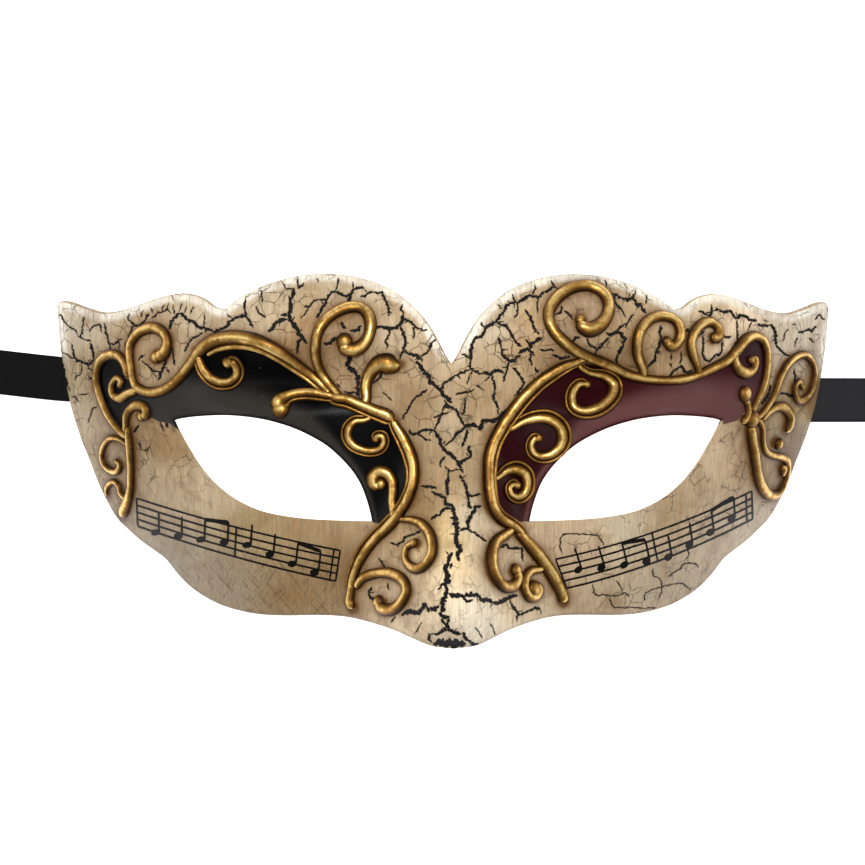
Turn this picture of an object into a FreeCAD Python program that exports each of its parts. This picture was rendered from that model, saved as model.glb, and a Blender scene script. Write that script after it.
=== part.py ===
import FreeCAD
import Part
import math
import os
from FreeCAD import Vector

# Venetian half mask lying face up on a table.
# Seen from above with the forehead away from the viewer, X runs to the right and
# Y to the forehead. Z rises from the table to the tip of the nose. Millimetres.

# ---------------------------------------------------------------- driving sizes
SHELL_T = 2.0            # moulded paper shell, measured square to its face
TOP_Y = 46.6             # crown of the brow above the middle of the mask
BOTTOM_Y = -45.6         # lowest point of the nose
SHIFT_Y = -0.5 * (TOP_Y + BOTTOM_Y)
SIGHT_D = 1000.0         # the ornament is projected on to the face from this far
SIGHT_X = -34.0          # and from a little to one side
FILM_T = 0.08            # lacquer panels
INK_T = 0.06             # music lines
FILM_LIFT = 0.04         # clearance between the face and the lacquer or ink
BEAD_LIFT = 0.32         # clearance between the face and the beads
RIBBON_W = 11.5
RIBBON_T = 0.3
COIL_R = 37.0
COIL_H = 12.0

# half width of the face where it meets the table, along Y
HALF_WIDTH = [(-54, 59.0), (-46, 64.5), (-38, 69.5), (-30, 74.6), (-22, 79.8), (-16, 83.7),
              (-12.7, 86.0), (-5.9, 89.4), (0, 91.7), (7.5, 94.6), (15.8, 97.0), (28.7, 99.2),
              (40, 100.2), (54, 101.0)]
# depth of the wrapped face behind the ornament, along Y
DEPTH = [(-54, 38.0), (-40, 42.0), (-28, 45.5), (-14, 48.0), (0, 50.0), (20, 52.0), (34, 50.0),
         (46, 46.0), (54, 42.0)]
# nose: how far the ridge stands out, and how wide its foot is, along Y
NOSE_OUT = [(-54, 21.0), (-47, 26.0), (-43, 30.5), (-38, 33.0), (-32, 31.0), (-22, 24.0), (-10, 15.5),
            (0, 9.5), (10, 5.5), (22, 3.0), (34, 1.5), (54, 0.5)]
NOSE_WIDE = [(-54, 17.0), (-38, 15.5), (-25, 13.0), (-10, 10.5), (2, 9.5), (14, 12.0), (30, 18.0),
             (54, 24.0)]


def smooth(table, t):
    """Value at t of the soft curve through the (t, value) pairs of a table."""
    n = len(table)
    if t <= table[0][0]:
        return table[0][1]
    if t >= table[-1][0]:
        return table[-1][1]
    i = 0
    while t > table[i + 1][0]:
        i += 1

    def slope(k):
        if k == 0:
            return (table[1][1] - table[0][1]) / (table[1][0] - table[0][0])
        if k == n - 1:
            return (table[k][1] - table[k - 1][1]) / (table[k][0] - table[k - 1][0])
        return (table[k + 1][1] - table[k - 1][1]) / (table[k + 1][0] - table[k - 1][0])

    t0, v0 = table[i]
    t1, v1 = table[i + 1]
    d = t1 - t0
    f = (t - t0) / d
    m0 = slope(i) * d
    m1 = slope(i + 1) * d
    f2 = f * f
    f3 = f2 * f
    return (2 * f3 - 3 * f2 + 1) * v0 + (f3 - 2 * f2 + f) * m0 + (3 * f2 - 2 * f3) * v1 + (f3 - f2) * m1


def bump(d, width):
    return math.exp(-(d / width) ** 2)


def height(x, y):
    """Height of the face above the table."""
    a = math.sqrt(x * x + 0.04)
    s = a / smooth(HALF_WIDTH, y)
    base = smooth(DEPTH, y) * (1.0 - s ** 3)
    nose = smooth(NOSE_OUT, y) / math.cosh(a / smooth(NOSE_WIDE, y)) ** 2
    ridge = 5.0 * bump(y - 31.0 + 0.05 * (a - 36.0), 8.0) * bump(a - 34.0, 26.0)
    socket = -4.5 * bump(y - 21.0, 7.0) * bump(a - 42.0, 22.0)
    lid = 2.0 * bump(y - 11.5, 5.0) * bump(a - 46.0, 24.0)
    cheek = 3.0 * bump(y + 24.0, 11.0) * bump(a - 50.0, 20.0)
    fold = -3.0 * bump(y + 36.0, 14.0) * bump(a - 29.0, 9.0)
    return base + nose + (ridge + socket + lid + cheek + fold) * max(0.0, 1.0 - s ** 4)


def normal(x, y):
    e = 0.05
    dx = (height(x + e, y) - height(x - e, y)) / (2 * e)
    dy = (height(x, y + e) - height(x, y - e)) / (2 * e)
    return Vector(-dx, -dy, 1.0).normalize()


def face_point(x, y, out=0.0):
    return Vector(x, y, height(x, y)) + normal(x, y) * out


def onto_face(u, v):
    """Where a point of the flat ornament drawing lands on the face."""
    x = u
    y = v
    for turn in range(12):
        k = 1.0 - height(x, y) / SIGHT_D
        x = SIGHT_X + (u - SIGHT_X) * k
        y = v * k
    return x, y


def spline_edge(points):
    curve = Part.BSplineCurve()
    curve.interpolate([Vector(p[0], p[1], 0) for p in points])
    return curve.toShape()


def mirrored(points):
    return [(-p[0], p[1]) for p in reversed(points)]


def grid_face(rows):
    surface = Part.BSplineSurface()
    surface.interpolate(rows)
    return surface.toShape()


def ruled(a, b):
    """Straight-line face between two curves that share their knots."""
    poles = [[p, q] for p, q in zip(a.getPoles(), b.getPoles())]
    surface = Part.BSplineSurface()
    surface.buildFromPolesMultsKnots(poles, a.getMultiplicities(), [2, 2], a.getKnots(), [0.0, 1.0],
                                     False, False, a.Degree, 1)
    return surface.toShape()


def long_curve(points):
    curve = Part.BSplineCurve()
    curve.interpolate(points, Parameters=[float(k) for k in range(len(points))])
    return curve


def closed_solid(faces):
    shell = Part.makeShell(faces)
    shell.sewShape()
    solid = Part.makeSolid(Part.Shell(shell.Faces))
    if solid.Volume < 0:
        solid.reverse()
    return solid


def slab(low, high):
    """Solid between the face offset by low and the face offset by high."""
    steps = [k * 0.06 for k in range(-18, -6)]
    steps += [k * 0.03 for k in range(-12, 13)]
    steps += [k * 0.06 for k in range(7, 19)]
    ys = [-54 + 3 * k for k in range(37)]
    tops = []
    bottoms = []
    for y in ys:
        xs = [s * smooth(HALF_WIDTH, y) for s in steps]
        tops.append([face_point(x, y, high) for x in xs])
        bottoms.append([face_point(x, y, low) for x in xs])
    top = grid_face(tops)
    bottom = grid_face(bottoms)
    sides = []
    for a in top.Edges:
        best = min(bottom.Edges, key=lambda b: (a.CenterOfMass - b.CenterOfMass).Length)
        sides.append(Part.makeRuledSurface(a, best))
    return closed_solid([top, bottom] + sides)


def prism(edges, z0=0.0, z1=110.0):
    wire = Part.Wire(Part.__sortEdges__(edges))
    face = Part.Face(wire)
    face.translate(Vector(0, 0, z0))
    return face.extrude(Vector(0, 0, z1 - z0))


# ---------------------------------------------------------------- outlines
BROW = [(0, 24.0), (1.4, 26.2), (2.9, 29.3), (5.4, 33.8), (7.9, 37.0), (12.7, 41.4), (17.6, 44.0),
        (22.6, 45.6), (27.4, 46.4), (32.0, 46.6), (36.9, 46.2), (41.9, 45.1), (47.0, 43.4),
        (52.1, 40.8), (56.2, 37.9)]
HUMP = [(56.2, 37.9), (58.2, 38.6), (60.6, 40.4), (63.4, 41.6), (66.9, 42.1), (71.0, 41.5),
        (76.0, 40.1), (81.5, 38.4), (87.0, 37.8), (92.0, 39.2), (95.9, 40.7), (98.9, 41.2),
        (100.3, 40.2), (101.2, 37.5), (104, 34)]
CHEEK = [(104, -4), (94, -8.5), (88.6, -12.0), (83.7, -16.0), (78.4, -20.6), (74.0, -23.6),
         (71.4, -25.5), (68.3, -29.3), (64.6, -32.8), (59.5, -35.8), (54.4, -37.6), (48.1, -38.7),
         (41.2, -38.9), (33, -38.6), (26.5, -38.7), (21.2, -39.6), (15.3, -41.2), (10.3, -43.2),
         (5.4, -45.0), (0, -45.6)]
EYE_TOP = [(18.3, -15.1), (18.8, -12.4), (19.9, -8.6), (21.6, -4.5), (24.6, -0.3), (29.6, 4.4),
           (35.3, 7.7), (41.0, 10.0), (47.0, 11.5), (54.4, 12.3), (61.4, 12.2), (66.4, 11.7),
           (68.6, 11.2)]
EYE_OUTER = [(68.6, 11.2), (69.2, 10.4), (68.8, 8.8), (67.6, 6.4), (65.6, 2.8), (62.6, -1.8),
             (59.0, -6.0), (54.6, -9.6), (49.6, -12.3), (44.6, -13.9), (37.0, -15.1), (29.0, -15.6),
             (21.0, -15.8), (19.6, -15.8)]
EYE_CORNER = [(19.6, -15.8), (18.5, -15.7), (18.3, -15.1)]


def outline_prism():
    edges = []
    for points in (BROW, HUMP, CHEEK):
        edges.append(spline_edge(points))
        edges.append(spline_edge(mirrored(points)))
    edges.append(Part.makeLine(Vector(104, 34, 0), Vector(104, -4, 0)))
    edges.append(Part.makeLine(Vector(-104, 34, 0), Vector(-104, -4, 0)))
    return prism(edges)


def eye_prism(side):
    edges = []
    for points in (EYE_TOP, EYE_OUTER, EYE_CORNER):
        if side < 0:
            points = mirrored(points)
        edges.append(spline_edge(points))
    return prism(edges, -10.0)


# ---------------------------------------------------------------- beads
def stations(path, step):
    """Evenly spaced (u, v, width) along the soft curve through the path."""
    n = len(path)
    dense = []
    for i in range(n - 1):
        p0 = path[max(i - 1, 0)]
        p1 = path[i]
        p2 = path[i + 1]
        p3 = path[min(i + 2, n - 1)]
        for k in range(16):
            f = k / 16.0
            row = []
            for c in range(3):
                m1 = (p2[c] - p0[c]) / 2.0
                m2 = (p3[c] - p1[c]) / 2.0
                h00 = 2 * f ** 3 - 3 * f ** 2 + 1
                h10 = f ** 3 - 2 * f ** 2 + f
                h01 = 3 * f ** 2 - 2 * f ** 3
                h11 = f ** 3 - f ** 2
                row.append(h00 * p1[c] + h10 * m1 + h01 * p2[c] + h11 * m2)
            dense.append(row)
    dense.append(list(path[-1]))
    run = [0.0]
    for a, b in zip(dense, dense[1:]):
        run.append(run[-1] + math.hypot(b[0] - a[0], b[1] - a[1]))
    count = max(6, int(round(run[-1] / step)))
    out = []
    j = 0
    for i in range(count + 1):
        want = run[-1] * i / count
        while j < len(run) - 2 and run[j + 1] < want:
            j += 1
        f = (want - run[j]) / max(run[j + 1] - run[j], 1e-9)
        f = min(max(f, 0.0), 1.0)
        out.append([dense[j][c] + f * (dense[j + 1][c] - dense[j][c]) for c in range(3)])
    return out, run[-1]


def bead(path, step=1.0, tall=0.52, slim=0.94, lift=BEAD_LIFT):
    """Raised bead with a flat back that follows the face."""
    rows, length = stations(path, step)
    n = len(rows)
    plan = [onto_face(r[0], r[1]) for r in rows]
    dome = []
    for i, r in enumerate(rows):
        x, y = plan[i]
        a = plan[max(i - 1, 0)]
        b = plan[min(i + 1, n - 1)]
        t = Vector(b[0] - a[0], b[1] - a[1], height(b[0], b[1]) - height(a[0], a[1])).normalize()
        up = normal(x, y)
        side = up.cross(t).normalize()
        near = min(i, n - 1 - i) * length / (n - 1)
        round_off = 1.0
        if near < 0.5 * r[2]:
            q = near / (0.5 * r[2])
            round_off = math.sqrt(max(0.0, 1.0 - (1.0 - q) ** 2)) * 0.75 + 0.25
        w = 0.5 * r[2] * slim * round_off
        left = face_point(x + side.x * w, y + side.y * w, lift)
        right = face_point(x - side.x * w, y - side.y * w, lift)
        mid = (left + right) * 0.5
        half = (left - right) * 0.5
        section = []
        for k in range(9):
            ang = math.pi * k / 8.0
            section.append(mid + half * math.cos(ang) + up * (2.0 * w * tall * math.sin(ang)))
        dome.append(section)
    top = grid_face(dome)
    surface = top.Surface
    u0, u1, v0, v1 = surface.bounds()
    faces = [top, ruled(surface.vIso(v0), surface.vIso(v1))]
    for u in (u0, u1):
        arc = surface.uIso(u).toShape()
        chord = Part.makeLine(arc.Vertexes[0].Point, arc.Vertexes[-1].Point)
        faces.append(Part.Face(Part.Wire([arc, chord])))
    return closed_solid(faces)


def knob(u, v, radius, lift=BEAD_LIFT):
    """Small dome standing square to the face."""
    x, y = onto_face(u, v)
    up = normal(x, y)
    base = face_point(x, y, lift + 0.12)
    ball = Part.makeSphere(radius, base - up * (0.25 * radius), up)
    keep = Part.makeCylinder(1.2 * radius, 2.0 * radius, base, up)
    return ball.common(keep).Solids[0]


def strip(path, width, thick, lift):
    """Thin flat line of constant width that follows the face."""
    rows, length = stations([(p[0], p[1], width) for p in path], 3.0)
    n = len(rows)
    plan = [onto_face(r[0], r[1]) for r in rows]
    low = []
    high = []
    for i in range(n):
        x, y = plan[i]
        a = plan[max(i - 1, 0)]
        b = plan[min(i + 1, n - 1)]
        t = Vector(b[0] - a[0], b[1] - a[1], 0).normalize()
        side = Vector(-t.y, t.x, 0)
        reach = [(x + side.x * k * width, y + side.y * k * width) for k in (-0.5, 0.5)]
        low.append([face_point(a, b, lift) for a, b in reach])
        high.append([face_point(a, b, lift + thick) for a, b in reach])
    return ribbon_solid(low, high)


def ribbon_solid(low, high):
    """Solid between two long narrow rows of point pairs."""
    curves = []
    for row, side in ((low, 0), (low, -1), (high, -1), (high, 0)):
        curves.append(long_curve([pair[side] for pair in row]))
    faces = []
    for k in range(4):
        faces.append(ruled(curves[k], curves[(k + 1) % 4]))
    for end in (0, -1):
        near = long_curve([low[end][0], low[end][-1]])
        far = long_curve([high[end][0], high[end][-1]])
        faces.append(ruled(near, far))
    return closed_solid(faces)


# Bead paths on the flat drawing: (across, up, bead width)
BEADS = {
    "left_brow_vine": [(-73.9, 27.0, 3.0), (-72.0, 27.9, 2.8), (-71.2, 30.4, 2.3), (-72.2, 33.0, 2.3),
                       (-74.4, 34.3, 2.4), (-76.8, 34.1, 2.4), (-79.2, 32.6, 2.3), (-80.7, 30.0, 2.1),
                       (-80.9, 27.0, 2.0), (-80.5, 24.0, 1.9), (-80.2, 21.6, 1.9), (-79.2, 19.3, 2.0),
                       (-77.2, 18.0, 2.1), (-74.6, 17.7, 2.2), (-72.2, 18.4, 2.2), (-69.6, 20.0, 2.2),
                       (-67.3, 22.5, 2.2), (-65.2, 25.3, 2.3), (-63.0, 28.4, 2.6), (-60.0, 30.8, 2.8),
                       (-56.0, 31.9, 2.9), (-52.0, 31.8, 2.9), (-48.0, 31.0, 2.9), (-44.0, 29.2, 2.8),
                       (-40.0, 26.7, 2.6), (-36.3, 23.9, 2.3), (-33.2, 21.3, 2.0), (-31.2, 19.2, 1.6)],
    "left_brow_vine_lower": [(-61.0, 27.4, 1.0), (-58.0, 28.9, 1.2), (-54.0, 29.6, 1.3),
                             (-50.0, 29.3, 1.3), (-46.5, 28.2, 1.3), (-43.0, 26.4, 1.3),
                             (-39.0, 23.8, 1.2), (-35.5, 21.2, 1.1), (-33.0, 19.0, 0.9)],
    "left_hanging_curl": [(-63.2, 26.2, 2.2), (-62.0, 23.4, 2.8), (-60.0, 21.1, 2.9),
                          (-57.4, 19.8, 2.9), (-54.9, 20.0, 2.8), (-53.2, 21.7, 2.6),
                          (-52.9, 23.9, 2.6), (-53.9, 25.9, 2.7), (-55.4, 26.0, 2.6)],
    "left_temple_spiral": [(-84.7, 21.3, 1.4), (-85.2, 19.3, 1.8), (-85.0, 17.4, 1.8),
                           (-83.8, 16.4, 1.8), (-82.8, 17.6, 1.8), (-82.4, 20.0, 1.7),
                           (-82.6, 22.8, 1.7), (-83.2, 25.4, 1.8), (-84.8, 27.0, 2.0),
                           (-86.8, 26.7, 2.2), (-88.4, 24.9, 2.1), (-89.2, 22.0, 2.0),
                           (-89.2, 18.8, 1.9), (-88.4, 15.4, 1.9), (-86.9, 12.3, 1.9),
                           (-84.9, 9.7, 1.9), (-82.8, 7.6, 1.8)],
    "left_temple_hook": [(-81.9, 9.3, 1.6), (-81.7, 11.7, 1.9), (-80.6, 13.7, 2.0), (-78.8, 14.5, 2.1),
                         (-77.0, 13.9, 2.2), (-76.5, 12.3, 2.4), (-77.6, 11.6, 2.2)],
    "left_temple_stem": [(-81.2, 6.6, 1.8), (-80.9, 3.6, 2.0), (-80.7, 0.3, 2.0), (-80.6, -3.0, 1.9),
                         (-80.7, -6.2, 1.9), (-81.2, -9.3, 2.1), (-82.2, -12.0, 2.5),
                         (-83.0, -14.0, 2.6)],
    "left_side_curl": [(-83.4, 5.6, 1.0), (-85.8, 6.0, 1.3), (-87.4, 4.4, 1.3), (-88.1, 1.8, 1.4),
                       (-87.6, -0.6, 1.5), (-86.2, -2.2, 1.5), (-84.4, -2.7, 1.5), (-83.4, -1.4, 1.4),
                       (-84.0, 0.0, 1.1)],
    "left_side_hook": [(-86.7, -9.0, 1.0), (-86.9, -7.2, 1.2), (-86.1, -5.7, 1.3), (-84.8, -5.3, 1.3),
                       (-83.7, -6.4, 1.4), (-83.1, -8.4, 1.4)],
    "left_forehead_curl": [(-28.2, 18.0, 1.9), (-30.3, 20.8, 2.0), (-32.0, 23.6, 2.1),
                           (-33.0, 26.6, 2.1), (-33.2, 29.8, 2.2), (-32.6, 33.0, 2.3),
                           (-30.9, 35.8, 2.4), (-28.2, 38.0, 2.5), (-25.0, 39.4, 2.6),
                           (-21.9, 39.5, 2.6), (-19.8, 38.0, 2.6), (-19.0, 35.4, 2.5),
                           (-19.4, 32.6, 2.5), (-20.8, 30.3, 2.7), (-23.0, 29.0, 3.0),
                           (-25.2, 29.4, 3.2), (-26.2, 30.8, 3.2)],
    "left_forehead_leaf": [(-20.0, 16.6, 2.2), (-20.1, 18.8, 2.4), (-19.7, 21.2, 2.5),
                           (-18.5, 23.6, 2.9), (-16.6, 25.2, 3.8), (-14.5, 25.2, 4.4),
                           (-12.6, 24.8, 3.2), (-11.2, 25.0, 1.6)],
    "left_lid_leaf": [(-30.2, 16.3, 2.4), (-33.0, 16.8, 2.8), (-36.5, 16.9, 3.0), (-39.6, 16.2, 3.2),
                      (-41.8, 14.8, 4.4), (-42.3, 13.0, 4.8)],
    "left_nose_bar": [(-27.8, 15.6, 2.8), (-25.0, 15.2, 3.0), (-21.5, 13.9, 3.1), (-18.0, 12.6, 3.2),
                      (-15.0, 11.5, 3.3), (-13.0, 10.4, 2.6)],
    "left_inner_curl": [(-20.6, 10.9, 1.8), (-23.2, 10.6, 2.1), (-24.9, 8.8, 2.3), (-25.1, 6.4, 2.3),
                        (-23.8, 4.2, 2.3), (-21.5, 2.9, 2.3), (-18.8, 2.4, 2.2), (-16.3, 3.0, 2.1),
                        (-15.1, 4.9, 2.0), (-15.6, 6.7, 2.0), (-17.3, 6.8, 1.9), (-17.9, 5.4, 1.8)],
    "left_nose_vine": [(-12.4, 8.6, 2.4), (-10.6, 5.6, 3.0), (-9.0, 2.2, 3.1), (-8.0, -1.2, 3.2),
                       (-7.9, -4.6, 3.1), (-8.7, -8.0, 3.0), (-10.2, -11.2, 3.0), (-12.2, -14.2, 3.1),
                       (-14.6, -16.8, 3.1), (-17.2, -19.2, 3.0), (-19.6, -21.9, 2.9),
                       (-21.5, -24.8, 2.8), (-22.8, -27.6, 2.6), (-23.6, -30.4, 2.4)],
    "left_corner_curl": [(-13.2, -12.6, 1.5), (-13.2, -10.2, 1.7), (-13.0, -7.6, 1.8),
                         (-13.2, -5.1, 1.9), (-14.6, -3.1, 2.1), (-16.8, -2.7, 2.2), (-18.1, -4.3, 2.2),
                         (-17.8, -6.2, 2.1), (-16.2, -6.9, 1.9)],
    "left_flank_curl": [(-10.2, -15.1, 1.5), (-7.9, -15.3, 1.9), (-5.4, -16.5, 2.3), (-3.6, -18.9, 2.7),
                        (-2.8, -21.8, 2.9), (-3.2, -24.7, 2.9), (-4.9, -27.0, 2.7), (-7.2, -27.8, 2.5),
                        (-9.2, -26.6, 2.1), (-9.9, -24.4, 1.8), (-9.3, -22.3, 1.7), (-7.6, -21.2, 1.8)],
    "left_nostril_curl": [(-22.6, -32.6, 2.0), (-20.8, -30.2, 2.3), (-17.4, -29.0, 2.5),
                          (-13.8, -29.0, 2.6), (-10.8, -30.5, 2.7), (-9.5, -33.2, 2.8),
                          (-10.8, -36.3, 2.9), (-13.4, -38.3, 3.0), (-16.0, -38.0, 3.0),
                          (-16.6, -36.2, 2.6)],
    "left_foot": [(-23.9, -33.6, 2.0), (-24.2, -36.0, 2.2), (-23.4, -38.1, 2.2)],
    "right_main_vine": [(19.0, -17.6, 2.6), (16.8, -16.0, 2.9), (14.4, -14.5, 3.1), (12.7, -12.0, 3.3),
                        (11.9, -8.8, 3.4), (11.6, -5.4, 3.4), (11.6, -2.0, 3.4), (11.9, 1.2, 3.4),
                        (13.0, 4.6, 3.3), (14.7, 7.9, 3.3), (16.9, 11.2, 3.3), (19.5, 14.5, 3.3),
                        (22.4, 17.7, 3.2), (25.5, 20.6, 3.1), (28.8, 23.0, 2.9), (32.0, 24.8, 2.6),
                        (34.4, 25.6, 2.0)],
    "right_forehead_curl": [(35.4, 35.9, 2.6), (35.9, 34.6, 3.0), (37.6, 34.0, 3.2), (39.8, 34.8, 3.0),
                            (41.6, 36.6, 2.7), (42.6, 39.2, 2.6), (42.2, 41.8, 2.6), (40.4, 44.0, 2.6),
                            (37.6, 45.2, 2.6), (34.6, 45.1, 2.6), (31.6, 43.9, 2.6), (28.9, 41.7, 2.6),
                            (27.3, 39.0, 2.5), (27.2, 36.2, 2.4), (28.6, 33.4, 2.4), (31.0, 31.0, 2.4),
                            (33.8, 28.9, 2.4), (37.0, 27.2, 2.4), (40.6, 25.8, 2.4), (44.0, 24.3, 2.3),
                            (47.2, 22.6, 2.2), (50.4, 21.6, 2.1), (54.0, 21.0, 2.0), (58.0, 20.8, 2.0),
                            (62.0, 21.2, 2.0), (66.0, 22.5, 2.0), (70.0, 24.4, 2.1), (73.4, 26.2, 2.2),
                            (75.8, 28.8, 2.5), (77.8, 31.2, 2.5), (80.2, 32.3, 2.2), (82.4, 31.4, 2.0),
                            (83.5, 28.8, 1.9), (83.7, 25.4, 1.9), (83.3, 21.8, 1.8), (82.2, 18.2, 1.8),
                            (80.8, 15.4, 1.6)],
    "right_lid_spiral": [(37.4, 23.4, 1.8), (41.4, 22.5, 2.6), (43.9, 20.2, 3.0), (44.1, 17.2, 3.1),
                         (42.3, 14.6, 3.0), (39.4, 12.9, 2.8), (36.0, 12.4, 2.6), (33.3, 13.5, 2.6),
                         (32.6, 16.0, 2.5), (33.2, 18.4, 2.4), (34.9, 20.1, 2.2), (36.9, 19.8, 2.0)],
    "right_brow_curl": [(51.3, 24.4, 2.0), (50.1, 27.6, 2.2), (49.9, 31.0, 2.3), (50.8, 33.9, 2.3),
                        (52.7, 36.2, 2.3), (55.3, 37.4, 2.3), (58.0, 37.2, 2.3), (60.2, 35.8, 2.3),
                        (61.1, 33.4, 2.3), (60.6, 31.1, 2.3), (58.9, 29.9, 2.3), (57.3, 30.9, 2.2)],
    "right_temple_leaf": [(65.4, 25.0, 1.8), (64.2, 28.0, 2.2), (63.9, 31.0, 2.3), (65.0, 33.7, 2.3),
                          (67.0, 35.6, 2.2), (69.2, 35.9, 2.1), (70.9, 34.4, 2.2), (70.9, 32.4, 2.5),
                          (69.7, 31.4, 2.2)],
    "right_lash_curl": [(75.9, 26.4, 1.6), (75.9, 24.2, 1.9), (77.3, 22.9, 2.0), (79.2, 23.2, 2.0),
                        (80.2, 24.8, 2.0), (80.0, 26.7, 2.0), (79.0, 27.5, 1.7)],
    "right_inner_spiral": [(17.8, 9.0, 1.8), (20.4, 10.6, 2.4), (23.6, 11.5, 2.9), (27.0, 11.4, 3.2),
                           (30.0, 9.6, 3.2), (31.1, 6.6, 3.2), (30.2, 3.6, 3.0), (27.8, 1.5, 2.7),
                           (25.0, 0.9, 2.5), (22.8, 2.0, 2.3), (22.1, 4.2, 2.2), (23.2, 6.2, 2.1),
                           (24.7, 6.0, 2.0)],
    "right_nose_spiral": [(14.2, -3.6, 1.8), (16.0, -2.2, 2.6), (18.6, -1.7, 3.3), (21.0, -3.0, 3.3),
                          (21.8, -5.6, 3.0), (21.1, -8.3, 2.7), (19.0, -9.7, 2.4), (17.0, -9.0, 2.0),
                          (16.4, -7.0, 1.9), (17.6, -5.8, 2.0), (18.9, -6.4, 2.0)],
    "right_flank_loop": [(15.8, -19.0, 2.3), (13.6, -20.6, 2.8), (12.3, -23.2, 3.2), (12.1, -26.4, 3.3),
                         (13.1, -29.8, 3.2), (15.3, -32.3, 3.0), (17.8, -32.3, 2.8), (18.9, -30.2, 2.8),
                         (18.1, -28.5, 3.2)],
    "right_nostril_vine": [(20.0, -19.6, 2.6), (22.2, -22.0, 3.0), (24.6, -24.8, 3.1),
                           (26.9, -27.9, 3.1), (28.8, -31.0, 3.0), (30.3, -34.0, 2.8),
                           (30.8, -36.4, 2.8)],
    "right_nostril_curl": [(24.2, -28.0, 1.6), (22.3, -28.4, 2.1), (20.9, -30.2, 2.4),
                           (20.6, -32.8, 2.5), (21.8, -35.0, 2.6), (23.6, -34.8, 2.6),
                           (24.3, -33.0, 2.4), (23.0, -32.0, 2.4)],
    "right_cheek_loop": [(79.5, 6.8, 2.6), (80.0, 3.6, 2.6), (80.5, 0.2, 2.5), (81.1, -3.4, 2.5),
                         (82.3, -6.6, 2.5), (84.0, -8.6, 2.4), (85.8, -8.8, 2.1), (87.2, -7.4, 1.9),
                         (88.4, -4.7, 1.8), (89.0, -1.8, 1.8), (88.7, 0.2, 1.8), (87.2, 1.1, 1.7),
                         (85.0, 1.6, 1.6), (83.4, 2.8, 1.5), (82.8, 4.6, 1.4)],
    "right_wing_loop": [(82.9, 12.9, 1.6), (84.4, 15.6, 1.8), (85.9, 18.8, 1.9), (87.2, 22.0, 1.9),
                        (88.7, 25.0, 1.8), (90.7, 27.0, 1.8), (93.0, 26.9, 1.8), (94.6, 24.8, 1.8),
                        (95.0, 21.6, 1.7), (94.3, 18.4, 1.6), (92.7, 16.6, 1.6), (91.4, 17.8, 1.6),
                        (91.4, 20.0, 1.5)],
    "right_wing_drop": [(84.9, 12.3, 1.5), (86.6, 13.1, 1.9), (88.2, 12.2, 2.5), (88.8, 10.2, 2.5),
                        (88.6, 8.4, 1.6)],
}
KNOBS = {
    "right_temple_knob": (77.6, 17.4, 2.2),
    "right_joint_knob": (79.4, 11.0, 2.4),
    "right_drop_knob": (86.4, 4.6, 1.6),
    "left_joint_knob": (-81.3, 8.2, 0.9),
}
TONGUE = [(87.7, -1.1, 2.2), (87.8, -2.6, 2.0), (87.5, -4.0, 1.2)]

# lacquer panels on the flat drawing; their borders lie under the beads
BLACK_PANEL = [(-15.2, -16.9), (-12.4, -14.0), (-9.8, -10.0), (-8.4, -5.5), (-8.4, -1.0), (-9.8, 3.6),
               (-12.3, 8.0), (-15.6, 11.4), (-19.5, 13.2), (-24.0, 14.8), (-28.5, 16.8), (-31.6, 20.0),
               (-36.0, 23.8), (-42.0, 28.0), (-48.0, 31.0), (-54.0, 31.9), (-60.0, 30.6), (-64.0, 26.8),
               (-67.3, 22.4), (-71.0, 19.0), (-75.0, 17.7), (-78.8, 18.6), (-80.6, 20.6), (-82.4, 21.4),
               (-83.0, 24.8), (-85.4, 26.8), (-88.2, 25.0), (-89.2, 21.0), (-88.6, 16.0), (-86.4, 11.4),
               (-83.4, 8.4), (-81.8, 8.8), (-81.5, 11.8), (-79.8, 14.0), (-77.4, 13.8), (-76.2, 11.8),
               (-73.6, 10.2), (-70.8, 9.9), (-66.0, 6.0), (-45.0, 2.0), (-30.0, -4.0), (-23.0, -12.0),
               (-20.0, -16.9)]
WINE_PANEL = [(24.0, -15.6), (19.6, -15.7), (16.6, -14.6), (13.6, -12.4), (12.2, -9.0), (11.8, -4.0),
              (12.2, 1.0), (13.6, 5.2), (16.2, 9.8), (20.0, 14.4), (25.6, 20.0), (31.0, 23.8),
              (36.0, 25.2), (41.0, 24.6), (46.0, 22.6), (52.0, 21.0), (59.0, 20.8), (65.0, 21.9),
              (70.0, 24.2), (74.0, 26.6), (76.6, 29.6), (79.0, 31.6), (81.6, 31.4), (83.2, 28.6),
              (83.5, 24.0), (82.6, 19.0), (81.0, 15.4), (78.2, 13.2), (75.8, 10.4), (72.4, 9.6),
              (66.0, 6.0), (45.0, 2.0), (32.0, -3.0), (26.0, -10.0)]

# music staves on the flat drawing: the ends of the top and the bottom line of each
LEFT_STAVE = [(-79.4, -9.4), (-26.6, -22.8), (-78.9, -16.8), (-28.0, -31.0)]
RIGHT_STAVE = [(29.5, -25.3), (79.3, -7.8), (31.8, -33.0), (79.8, -15.0)]


def panel_prism(points):
    flat = [onto_face(p[0], p[1]) for p in points]
    corners = [Vector(p[0], p[1], 0) for p in flat]
    return Part.Face(Part.makePolygon(corners + corners[:1])).extrude(Vector(0, 0, 110))


def panel(points, side, sheet):
    return sheet.common(panel_prism(points)).cut(eye_prism(side)).Solids[0]


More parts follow.
